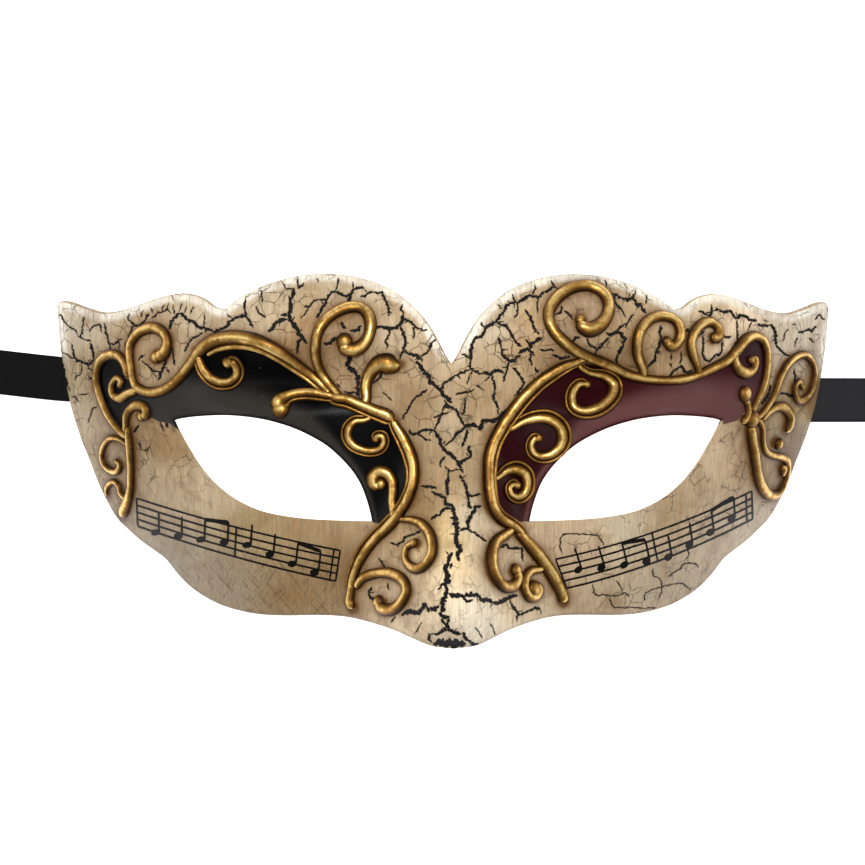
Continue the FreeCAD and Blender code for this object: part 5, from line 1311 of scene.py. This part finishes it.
def make_shell():
    true_loops = shell_loops(RIM_STEP)
    cracks = all_cracks()
    crack_tree = tree_of(cracks)
    fronts = []
    rims = []
    turns = np.linspace(0, math.pi, 10)
    for k, loop in enumerate(true_loops):
        x, y = loop[:, 0], loop[:, 1]
        on = face_point(x, y)
        around = unit(np.roll(on, -1, 0) - np.roll(on, 1, 0))
        up = normal(x, y)
        away = unit(np.cross(around, up))
        if k > 0:
            away[:, 2] = 0
            away = unit(away)
        start = on - away * RIM_R
        sx, sy = start[:, 0], start[:, 1]
        front = face_point(sx, sy)
        up = normal(sx, sy)
        if k > 0:
            up = np.stack([0 * sx, 0 * sx, 1 / up[:, 2]], -1)
        ring = [front - up * RIM_R * (1 - math.cos(t)) + away * RIM_R * math.sin(t) for t in turns]
        fronts.append(np.stack([sx, sy], -1))
        rims.append(np.stack(ring, 0))
    border = tree_of(np.vstack(true_loops))
    coarse = hex_points(SHELL_BOX, COARSE_MESH)
    fine = hex_points(SHELL_BOX, FINE_MESH)

    def within(points, margin):
        in_hole = inside(points, true_loops[1]) | inside(points, true_loops[2])
        points = points[inside(points, true_loops[0]) & ~in_hole]
        return points[nearest(border, points)[1] > margin]

    def crack_gap(points):
        u, v = onto_drawing(face_point(points[:, 0], points[:, 1]))
        which, gap = nearest(crack_tree, np.stack([u, v], -1))
        return gap - cracks[which, 2]

    coarse = within(coarse, RIM_R + 0.25)
    coarse = coarse[crack_gap(coarse) > NEAR_CRACK]
    u, v = onto_drawing(face_point(fine[:, 0], fine[:, 1]))
    fine = fine[nearest(crack_tree, np.stack([u, v], -1))[1] < 1.3]
    fine = within(fine, RIM_R + 0.14)
    fine = fine[crack_gap(fine) <= NEAR_CRACK]
    sx, sy = onto_face(cracks[::4, 0], cracks[::4, 1])
    seam = within(np.stack([sx, sy], -1), RIM_R + 0.05)
    fine = fine[nearest(tree_of(seam), fine)[1] > 0.17]
    middle = np.vstack([coarse, fine])
    middle = np.vstack([middle + rng.uniform(-0.05, 0.05, middle.shape), seam])
    triangles = fill_loops(fronts, middle)
    plan = np.vstack(fronts + [middle])
    front = face_point(plan[:, 0], plan[:, 1])
    firsts = np.cumsum([0] + [len(f) for f in fronts])
    for first, ring in zip(firsts, rims):
        front[first:first + ring.shape[1]] = ring[0]
    n_front = len(front)
    faces = triangles.tolist()
    points = [front]
    total = n_front
    back_rings = []
    for first, ring in zip(firsts, rims):
        n = ring.shape[1]
        index = [np.arange(n) + first]
        for row in ring[1:]:
            index.append(np.arange(n) + total)
            points.append(row)
            total += n
        for a, b in zip(index, index[1:]):
            faces += np.stack([a, b, np.roll(b, -1), np.roll(a, -1)], -1).tolist()
        back_rings.append(index[-1])
    n_outside = len(faces)
    n_rim = total
    # the inside of the shell
    back_loops = [ring[-1][:, :2] for ring in rims]
    inner = hex_points(SHELL_BOX, BACK_MESH)
    on = face_point(inner[:, 0], inner[:, 1], -SHELL_T)
    inner_plan = on[:, :2]
    margin_ok = inside(inner_plan, back_loops[0]) & ~inside(inner_plan, back_loops[1])
    margin_ok &= ~inside(inner_plan, back_loops[2]) & (on[:, 2] > 1.0)
    gap = nearest(tree_of(np.vstack(back_loops)), inner_plan)[1] > 0.8
    keep = margin_ok & gap
    back_points = on[keep]
    back_triangles = fill_loops(back_loops, back_points[:, :2])
    remap = np.concatenate(back_rings + [np.arange(len(back_points)) + total])
    faces += remap[back_triangles[:, ::-1]].tolist()
    points.append(back_points)
    total += len(back_points)
    points = np.vstack(points)
    # rest on the table, with a little room where the ribbons pass under
    x, y = points[:, 0], points[:, 1]
    u, v = onto_drawing(points)
    floor = np.full(total, TABLE_GAP)
    for side, y0 in RIBBON_Y.items():
        near = (side * x > 80) & (np.abs(y - y0) < 0.5 * RIBBON_W + 0.5)
        floor[near] = RIBBON_ROOM
    points[:, 2] = np.maximum(points[:, 2], floor)
    # distance to the nearest crack edge, and the sunken cracks themselves
    which, gap = nearest(crack_tree, np.stack([u, v], -1))
    crack = np.clip(gap - cracks[which, 2], -2, 3)
    crack[n_rim:] = 3.0
    up = normal(x, y)
    depth = np.zeros(total)
    depth[:n_front] = CRACK_DEPTH * ramp01(-crack[:n_front], -0.04, 0.28)
    puff = np.zeros(total)
    puff[:n_front] = CRACK_LIP * np.exp(-((crack[:n_front] - 0.3) / 0.22) ** 2)
    points += up * (puff - depth)[:, None]
    # antique wash beside the beads, with painted shade where the shell meets the relief
    beads = []
    for path in list(BEADS.values()) + [TONGUE]:
        beads.append(stations(path, 0.4)[0])
    for u0, v0, r in KNOBS.values():
        beads.append(np.array([[u0, v0, 2 * r]]))
    for spots in BALLS.values():
        beads += [np.array([[u0, v0, 2 * r]]) for u0, v0, r in spots]
    beads = np.vstack(beads)
    which, gap = nearest(tree_of(beads), np.stack([u, v], -1))
    bead_gap = np.maximum(gap - 0.5 * beads[which, 2], 0)
    wash_and_shade = 0.80 * np.exp(-(bead_gap / 0.75)) + 0.36 * np.exp(-(bead_gap / 2.6))
    # ground colour, its painted light and shade included
    tone = ground_and_light_tone(u, v)
    # painted highlight as a pale band along the upper rims, a thin brown line at their edge, and painted
    # shade as a darker line along the lower rim
    which, edge = nearest(tree_of(true_loops[0]), np.stack([x, y], -1))
    top = ramp01(y, 22, 30)[:, None]
    pale = top * (ramp01(edge, 0.3, 0.7) * (1 - ramp01(edge, 1.5, 3.0)))[:, None] * 0.85
    tone = tone * (1 - pale) + srgb(250, 243, 226) * pale
    brown = top * (1 - ramp01(edge, 0.30, 0.62))[:, None] * 0.8
    tone = tone * (1 - brown) + srgb(158, 132, 98) * brown
    under = ramp01(-y, 10, 20)[:, None] * (1 - ramp01(edge, 0.2, 1.2))[:, None] * 0.55
    tone = tone * (1 - under) + srgb(112, 96, 74) * under
    left, right = hole_paint(u, v)
    hole_edge = nearest(tree_of(np.vstack(true_loops[1:])), np.stack([x, y], -1))[1]
    rim_zone = 1 - ramp01(hole_edge, 1.2, 1.7)
    rim_zone[n_front:n_rim] = np.where(hole_edge[n_front:n_rim] < 4, 1, 0)
    paint = np.clip(left + right, 0, 1) * rim_zone
    tone = tone * (1 - (left * rim_zone)[:, None]) + BLACK * (left * rim_zone)[:, None]
    tone = tone * (1 - (right * rim_zone)[:, None]) + WINE * (right * rim_zone)[:, None]
    craze = ramp01(v + 0.35 * np.abs(u), 2, 26) + 0.8 * ramp01(u, 22, 30) * ramp01(-v, -8, 4)
    craze = np.clip(craze + 0.7 * ramp01(-np.abs(u), -26, -16), 0, 1)
    hatch = ramp01(-u, 22, 30) * ramp01(-v, 14, 30) * (1 - 0.5 * ramp01(-u, 60, 76))
    picks = np.zeros(len(faces), np.int32)
    picks[n_outside:] = 1
    new_piece("paper_shell", points, faces, ["mask_shell"],
              [ground_paint(), lining_paint()],
              {"crack": crack, "wash_and_shade": wash_and_shade * (1 - paint), "craze": craze, "lacquer": paint,
               "hatch": hatch},
              {"tone": tone}, picks)


def ground_paint():
    """Old ivory paint over paper: brushed, crazed, washed with brown along the relief, that brown also
    being painted shade.
    """
    paint = Paint("crackled_ground", Specular_IOR_Level=0.28, Coat_Weight=0.04, Coat_Roughness=0.35)
    base = paint.colour("tone")
    lacquer = paint.value("lacquer")
    bare = paint.math("SUBTRACT", 1.0, lacquer)
    streak = paint.noise(paint.stretch(2300, 150, 500), 1.0, 5.0, 0.62)
    broad = paint.noise(paint.stretch(420, 90, 160), 1.0, 4.0, 0.6, 0.3)
    cloud = paint.noise(paint.place, 95.0, 5.0, 0.6, 0.5)
    grit = paint.noise(paint.place, 2200.0, 3.0)
    light = paint.math("MULTIPLY_ADD", streak, 1.05, 0.22)
    light = paint.math("MULTIPLY_ADD", broad, 0.42, light)
    light = paint.math("MULTIPLY_ADD", grit, 0.12, paint.math("SUBTRACT", light, 0.06))
    light = paint.math("MULTIPLY_ADD", paint.math("SUBTRACT", light, 0.95), bare, 1.0)
    shade = paint.node("ShaderNodeCombineXYZ")
    for socket in shade.inputs:
        paint.feed(socket, light)
    base = paint.mix(1.0, base, shade.outputs[0], "MULTIPLY")
    stain = paint.math("MULTIPLY", paint.span(cloud, 0.46, 0.70), 0.50)
    base = paint.mix(paint.math("MULTIPLY", stain, bare), base, srgb(132, 96, 52))
    warp = paint.node("ShaderNodeVectorMath", operation="MULTIPLY_ADD")
    paint.feed(warp.inputs[0], paint.node("ShaderNodeTexNoise").outputs["Color"])
    warp.inputs[0].links[0].from_node.inputs["Scale"].default_value = 700.0
    paint.feed(warp.inputs[0].links[0].from_node.inputs["Vector"], paint.place)
    warp.inputs[1].default_value = (0.0011, 0.0011, 0.0011)
    paint.feed(warp.inputs[2], paint.place)
    net = paint.cells(warp.outputs[0], 260.0)
    hair = paint.math("SUBTRACT", 1.0, paint.span(net, 0.012, 0.050))
    patchy = paint.span(paint.noise(paint.place, 160.0, 3.0), 0.40, 0.62)
    hair = paint.math("MULTIPLY", paint.math("MULTIPLY", hair, patchy), paint.value("craze"))
    hairline = paint.math("MULTIPLY", paint.math("MULTIPLY", hair, 0.72), bare)
    base = paint.mix(hairline, base, srgb(58, 42, 26))
    patchy = paint.math("MULTIPLY_ADD", cloud, 0.9, 0.45)
    # brown beside the relief: antique wash and painted shade where the shell meets the beads
    wash_and_shade = paint.math("MULTIPLY", paint.value("wash_and_shade"), patchy, clamp=True)
    base = paint.mix(wash_and_shade, base, srgb(104, 66, 22))
    ragged = paint.noise(paint.place, 2600.0, 3.0, 0.6)
    gap = paint.math("MULTIPLY_ADD", ragged, 0.22, paint.math("SUBTRACT", paint.value("crack"), 0.11))
    chip = paint.math("MULTIPLY", paint.span(gap, 0.30, 0.10), 0.25)
    base = paint.mix(paint.math("MULTIPLY", chip, bare), base, srgb(110, 88, 62))
    dark = paint.span(gap, 0.10, -0.03)
    base = paint.mix(dark, base, srgb(14, 11, 9))
    hatch = paint.value("hatch")
    for turn in (0.72, -0.62):
        scratch = paint.noise(paint.stretch(2100, 110, 400, turn), 1.0, 4.0, 0.6)
        scratch = paint.math("MULTIPLY", paint.span(scratch, 0.53, 0.68), hatch)
        base = paint.mix(paint.math("MULTIPLY", scratch, 0.55), base, srgb(74, 52, 26))
    rough = paint.math("MULTIPLY_ADD", streak, 0.16, 0.40)
    rough = paint.math("MULTIPLY_ADD", dark, 0.3, rough)
    rough = paint.math("MULTIPLY_ADD", lacquer, -0.25, rough)
    relief = paint.math("MULTIPLY_ADD", streak, 0.10, paint.math("MULTIPLY", broad, 0.12))
    relief = paint.math("MULTIPLY_ADD", grit, 0.03, relief)
    relief = paint.math("MULTIPLY_ADD", hair, -0.10, relief)
    relief = paint.math("MULTIPLY_ADD", dark, -0.22, relief)
    return paint.done(Base_Color=base, Roughness=rough, Normal=paint.bumps(relief, 0.75))


def lining_paint():
    """The bare inside: pasted paper with soft folds and glue marks."""
    paint = Paint("pasted_paper", Roughness=0.82, Specular_IOR_Level=0.25)
    pulp = paint.noise(paint.place, 320.0, 6.0, 0.65, 0.6)
    scraps = paint.cells(paint.stretch(1, 1, 0.6), 52.0)
    seam = paint.math("SUBTRACT", 1.0, paint.span(scraps, 0.0, 0.05))
    base = paint.steps(pulp, (0.25, srgb(178, 160, 130)), (0.5, srgb(206, 190, 160)),
                       (0.8, srgb(224, 212, 186)))
    base = paint.mix(paint.math("MULTIPLY", seam, 0.35), base, srgb(148, 124, 90))
    relief = paint.math("MULTIPLY_ADD", pulp, 0.22, paint.math("MULTIPLY", seam, -0.12))
    return paint.done(Base_Color=base, Normal=paint.bumps(relief, 0.8))


make_shell()


# ---------------------------------------------------------------- lacquer panels
def longest_run(loop, flags):
    """The longest stretch of a closed loop whose points are flagged, in order."""
    start = int(np.argmin(flags))
    loop = np.roll(loop, -start, 0)
    flags = np.roll(flags, -start)
    best = (0, 0)
    first = 0
    for k, flag in enumerate(list(flags) + [False]):
        if flag:
            continue
        if k - first > best[1] - best[0]:
            best = (first, k)
        first = k + 1
    return loop[best[0]:best[1]]


def closed_film(loop, middle, low, high):
    """A thin sheet over the face, closed underneath and at its border."""
    triangles = fill_loops([loop], middle)
    plan = np.vstack([loop, middle])
    n = len(plan)
    top = face_point(plan[:, 0], plan[:, 1], high)
    bottom = face_point(plan[:, 0], plan[:, 1], low)
    rim = np.arange(len(loop))
    wall = np.stack([rim, rim + n, np.roll(rim, -1) + n, np.roll(rim, -1)], -1)
    area = np.sum(loop[:, 0] * np.roll(loop[:, 1], -1) - loop[:, 1] * np.roll(loop[:, 0], -1))
    if area < 0:
        wall = wall[:, ::-1]
    faces = triangles.tolist() + (triangles[:, ::-1] + n).tolist() + wall.tolist()
    return np.vstack([top, bottom]), faces


def lacquer_paint(name, deep, mid, pale):
    paint = Paint(name, Specular_IOR_Level=0.10, Coat_Weight=0.05, Coat_Roughness=0.2)
    painted_sheen = paint.value("painted_sheen")
    cloud = paint.noise(paint.place, 170.0, 5.0, 0.6, 0.4)
    grit = paint.noise(paint.place, 2400.0, 4.0, 0.65)
    drag = paint.noise(paint.stretch(260, 1500, 500, 0.25), 1.0, 4.0, 0.6)
    level = paint.math("ADD", painted_sheen, paint.math("MULTIPLY_ADD", cloud, 0.22, -0.11))
    level = paint.math("ADD", level, paint.math("MULTIPLY_ADD", grit, 0.26, -0.13), clamp=True)
    base = paint.steps(level, (0.0, deep), (0.45, mid), (1.0, pale))
    speck = paint.math("SUBTRACT", 1.0, paint.span(paint.cells(paint.place, 620.0, "F1"), 0.05, 0.12))
    some = paint.span(paint.noise(paint.place, 240.0, 2.0), 0.60, 0.66)
    dust = paint.math("MULTIPLY", paint.math("MULTIPLY", speck, some), 0.5)
    base = paint.mix(dust, base, srgb(150, 138, 116))
    rough = paint.math("MULTIPLY_ADD", drag, 0.18, 0.24)
    relief = paint.math("MULTIPLY_ADD", drag, 0.05, paint.math("MULTIPLY", grit, 0.03))
    relief = paint.math("MULTIPLY_ADD", cloud, 0.10, relief)
    return paint.done(Base_Color=base, Roughness=rough, Normal=paint.bumps(relief, 0.7))


FILM_LOW = 0.015
FILM_HIGH = 0.10
# (distance from the middle, width of the painted sheen beside the eye hole, where the lacquer turns
# greyer)
SHEEN_BAND = [(16, 1.5), (26, 2.5), (34, 6.0), (50, 9.0), (62, 11.0), (72, 14.0), (84, 18.0)]


def make_lacquer(side, outline, word, tones):
    """Film of the lacquer word, with deep, middle and pale tones, round one eye hole; the pale tone is a
    painted sheen.
    """
    x, y = onto_face(*np.array(outline, float).T)
    panel = even(np.stack([x, y], -1), 0.6)
    eye = shell_loops(RIM_STEP)[1 if side < 0 else 2]
    on = face_point(eye[:, 0], eye[:, 1])
    away = unit(np.cross(unit(np.roll(on, -1, 0) - np.roll(on, 1, 0)), normal(eye[:, 0], eye[:, 1])))
    eye = (on - away * (RIM_R + 0.05))[:, :2]
    # the panel's border, with its stretch over the eye hole swapped for the rim of the hole
    panel = longest_run(panel, ~inside(panel, eye))
    eye = longest_run(eye, inside(eye, np.stack([x, y], -1)))
    if np.linalg.norm(panel[-1] - eye[0]) > np.linalg.norm(panel[-1] - eye[-1]):
        eye = eye[::-1]
    loop = np.vstack([panel, eye])
    step = np.linalg.norm(loop - np.roll(loop, 1, 0), axis=1)
    loop = loop[step > 0.15]
    low, high = loop.min(0), loop.max(0)
    middle = hex_points((low[0], low[1], high[0], high[1]), 0.7)
    middle = middle[inside(middle, loop)]
    gap = nearest(tree_of(loop), middle)[1]
    middle = middle[gap > 0.35]
    points, faces = closed_film(loop, middle, FILM_LOW, FILM_HIGH)
    hole = nearest(tree_of(eye), points[:, :2])[1]
    # painted sheen: the lacquer turns lighter in a band beside the hole, where the lid would catch the
    # light
    run = np.interp(np.abs(onto_drawing(points)[0]), *zip(*SHEEN_BAND))
    painted_sheen = 1 - ramp01(hole, 0.35 * run, 1.25 * run)
    painted_sheen = np.clip(painted_sheen, 0, 1) * ramp01(hole, 0.0, 0.9)
    node = ("left_" if side < 0 else "right_") + word
    new_piece(word + "_film", points, faces, [node], [lacquer_paint(word, *tones)], {"painted_sheen": painted_sheen},
              crease=50)


# the third tone of each is the painted sheen beside the eye hole
make_lacquer(-1, BLACK_PANEL, "black_lacquer", (srgb(2, 2, 2), srgb(24, 22, 21), srgb(52, 49, 45)))
make_lacquer(1, WINE_PANEL, "wine_lacquer", (srgb(40, 2, 6), srgb(60, 22, 25), srgb(98, 62, 60)))


# ---------------------------------------------------------------- ink staves and notes
# ends of the top line, then of the bottom line of each stave, on the flat drawing
STAVES = {
    "left": ((-79.3, -9.6), (-26.8, -23.1), (-79.0, -16.8), (-28.0, -31.0)),
    "right": ((28.9, -25.4), (79.8, -7.8), (31.7, -32.9), (80.0, -15.0)),
}
SAG = {"left": 0.9, "right": 1.8}        # how far the middle of a line hangs below its chord
HEAD_TURN = {"left": 6, "right": 35}
# a plain scale on each stave, in line gaps below the top line
SCALES = {"left": (4, 3.5, 3, 2.5, 2, 2.5, 3, 3.5), "right": (2, 2.5, 3, 3.5, 4, 3.5, 3, 2.5)}
FIRST_NOTE = 0.09
LAST_NOTE = 0.89
STEM_SHIFT = 0.018
STEM_GAPS = 2.9
BEAMED = (2, 6)                          # notes that share a beam with the next one
BARS = (0.0, 0.49, 0.97, 1.0)
INK_LOW = 0.02
INK_HIGH = 0.09


def ink_stroke(points, width):
    line = even(hermite(points, 6) if len(points) > 2 else points, 0.35, closed=False)
    ahead = unit(np.gradient(line, axis=0))
    side = np.stack([-ahead[:, 1], ahead[:, 0]], -1)
    n = len(line)
    half = 0.5 * width * (1 + rng.normal(0, 0.07, (2, n)))
    half[:, 0] *= 0.6
    half[:, -1] *= 0.6
    return np.vstack([line + side * half[0][:, None], (line - side * half[1][:, None])[::-1]])


def ink_head(u, v, long, tall, turn):
    a = np.linspace(0, 2 * math.pi, 22, endpoint=False)
    power = 0.8
    px = long * np.sign(np.cos(a)) * np.abs(np.cos(a)) ** power
    py = tall * np.sign(np.sin(a)) * np.abs(np.sin(a)) ** power
    wobble = 1 + rng.normal(0, 0.045, 22)
    c, s = math.cos(math.radians(turn)), math.sin(math.radians(turn))
    return np.stack([u + (px * c - py * s) * wobble, v + (px * s + py * c) * wobble], -1)


def ink_mesh(outline, strokes=True):
    """One thin closed patch over the face from a closed outline on the flat drawing."""
    x, y = onto_face(outline[:, 0], outline[:, 1])
    n = len(x)
    top = face_point(x, y, INK_HIGH)
    bottom = face_point(x, y, INK_LOW)
    faces = []
    if strokes:
        m = n // 2
        for k in range(m - 1):
            faces.append([k, k + 1, n - 2 - k, n - 1 - k][::-1])
            faces.append([n + k, n + k + 1, 2 * n - 2 - k, 2 * n - 1 - k])
    else:
        faces.append(list(range(n)))
        faces.append([n + k for k in range(n)][::-1])
    for k in range(n):
        j = (k + 1) % n
        faces.append([k, j, n + j, n + k] if strokes else [k, n + k, n + j, j])
    return np.vstack([top, bottom]), faces, np.zeros(2 * n)


def ink_paint():
    paint = Paint("pen_ink", Specular_IOR_Level=0.12)
    cloud = paint.noise(paint.place, 700.0, 4.0)
    base = paint.steps(cloud, (0.3, srgb(5, 4, 4)), (0.62, srgb(14, 11, 9)), (0.85, srgb(48, 38, 28)))
    rough = paint.math("MULTIPLY_ADD", cloud, 0.3, 0.32)
    relief = paint.math("MULTIPLY", cloud, 0.04)
    return paint.done(Base_Color=base, Roughness=rough, Normal=paint.bumps(relief, 0.6))


INK = ink_paint()


def on_stave(word, along, line):
    """Drawing point on a stave: along runs 0 to 1, line 0 is the top line and 4 the bottom one."""
    top_start, top_stop, low_start, low_stop = (np.array(end) for end in STAVES[word])
    start = top_start + (low_start - top_start) * line / 4
    stop = top_stop + (low_stop - top_stop) * line / 4
    u, v = start + (stop - start) * along
    return u, v - SAG[word] * 4 * along * (1 - along)


def make_stave(word):
    strokes = []
    for line in range(5):
        strokes.append((0.46, [on_stave(word, along, line) for along in np.linspace(0, 1, 9)]))
    for along in BARS:
        strokes.append((0.45, [on_stave(word, along, 0), on_stave(word, along, 4)]))
    heads = []
    tops = []
    for along, line in zip(np.linspace(FIRST_NOTE, LAST_NOTE, len(SCALES[word])), SCALES[word]):
        heads.append((*on_stave(word, along, line), 1.1, 0.8, HEAD_TURN[word]))
        top = on_stave(word, along + STEM_SHIFT, line - STEM_GAPS)
        strokes.append((0.5, [on_stave(word, along + STEM_SHIFT, line), top]))
        tops.append(top)
    for k in BEAMED:
        strokes.append((0.95, [tops[k], tops[k + 1]]))
    parts = [ink_mesh(ink_stroke(points, width)) for width, points in strokes]
    parts += [ink_mesh(ink_head(*head), strokes=False) for head in heads]
    points, faces = join(*parts)[:2]
    new_piece(word + "_ink_stave", points, faces, [word + "_music_stave"], [INK], crease=40)


make_stave("left")
make_stave("right")


# ---------------------------------------------------------------- cloth patches over the ribbon ends
def inner_reach(y, z):
    """How far out the inside of the wing is at this height."""
    a = np.full(y.shape, 1.0) * at("half", y)
    for turn in range(80):
        p = face_point(a, y, -SHELL_T)
        a = a + 0.5 * (p[..., 2] - z) / 1.6
    return face_point(a, y, -SHELL_T)[..., 0]


def patch_paint():
    paint = Paint("patch_weave", Roughness=0.9, Specular_IOR_Level=0.2, Sheen_Weight=0.3)
    warp = paint.math("SINE", paint.math("MULTIPLY", paint.value("across"), 2 * math.pi / 0.7))
    weft = paint.math("SINE", paint.math("MULTIPLY", paint.value("along"), 2 * math.pi / 0.7))
    weave = paint.math("MULTIPLY", warp, weft)
    cloud = paint.noise(paint.place, 400.0, 4.0)
    level = paint.math("MULTIPLY_ADD", weave, 0.22, cloud)
    base = paint.steps(level, (0.2, srgb(22, 20, 20)), (0.8, srgb(58, 54, 52)))
    return paint.done(Base_Color=base, Normal=paint.bumps(paint.math("MULTIPLY", weave, 0.12), 0.9))


def make_patch(side, mat):
    word = "left" if side < 0 else "right"
    y0 = RIBBON_Y[side]
    rows = np.linspace(19.5, 7.5, 20)
    columns = np.linspace(-8.0, 8.0, 26)
    z, k = np.meshgrid(rows, columns, indexing="ij")
    fray = 0.22 * rng.normal(0, 1, z.shape)
    border = (np.abs(k) > 7.9) | (z > 19.4) | (z < 7.6)
    k = k + np.where(border, fray, 0)
    a = inner_reach(y0 + k, z)
    lift = 1.45 - 0.5 * ramp01(np.abs(k), 6.0, 8.0)
    outer = np.stack([side * (a - lift), y0 + k, z], -1)
    inner = np.stack([side * (a - lift - 0.55), y0 + k, z - 0.25], -1)
    n = z.size
    index = np.arange(n).reshape(z.shape)
    quad = np.stack([index[:-1, :-1], index[1:, :-1], index[1:, 1:], index[:-1, 1:]], -1).reshape(-1, 4)
    rim = np.concatenate([index[0, :-1], index[:-1, -1], index[-1, ::-1][:-1], index[::-1, 0][:-1]])
    wall = np.stack([rim, np.roll(rim, -1), np.roll(rim, -1) + n, rim + n], -1)
    faces = np.vstack([quad, quad[:, ::-1] + n, wall])
    if side < 0:
        faces = faces[:, ::-1]
    points = np.concatenate([outer.reshape(-1, 3), inner.reshape(-1, 3)])
    new_piece(word + "_glued_patch", points, faces, [word + "_ribbon_patch"], [mat],
              {"along": np.tile(z.ravel(), 2), "across": np.tile(k.ravel(), 2)}, crease=50)


CLOTH = patch_paint()
make_patch(-1, CLOTH)
make_patch(1, CLOTH)
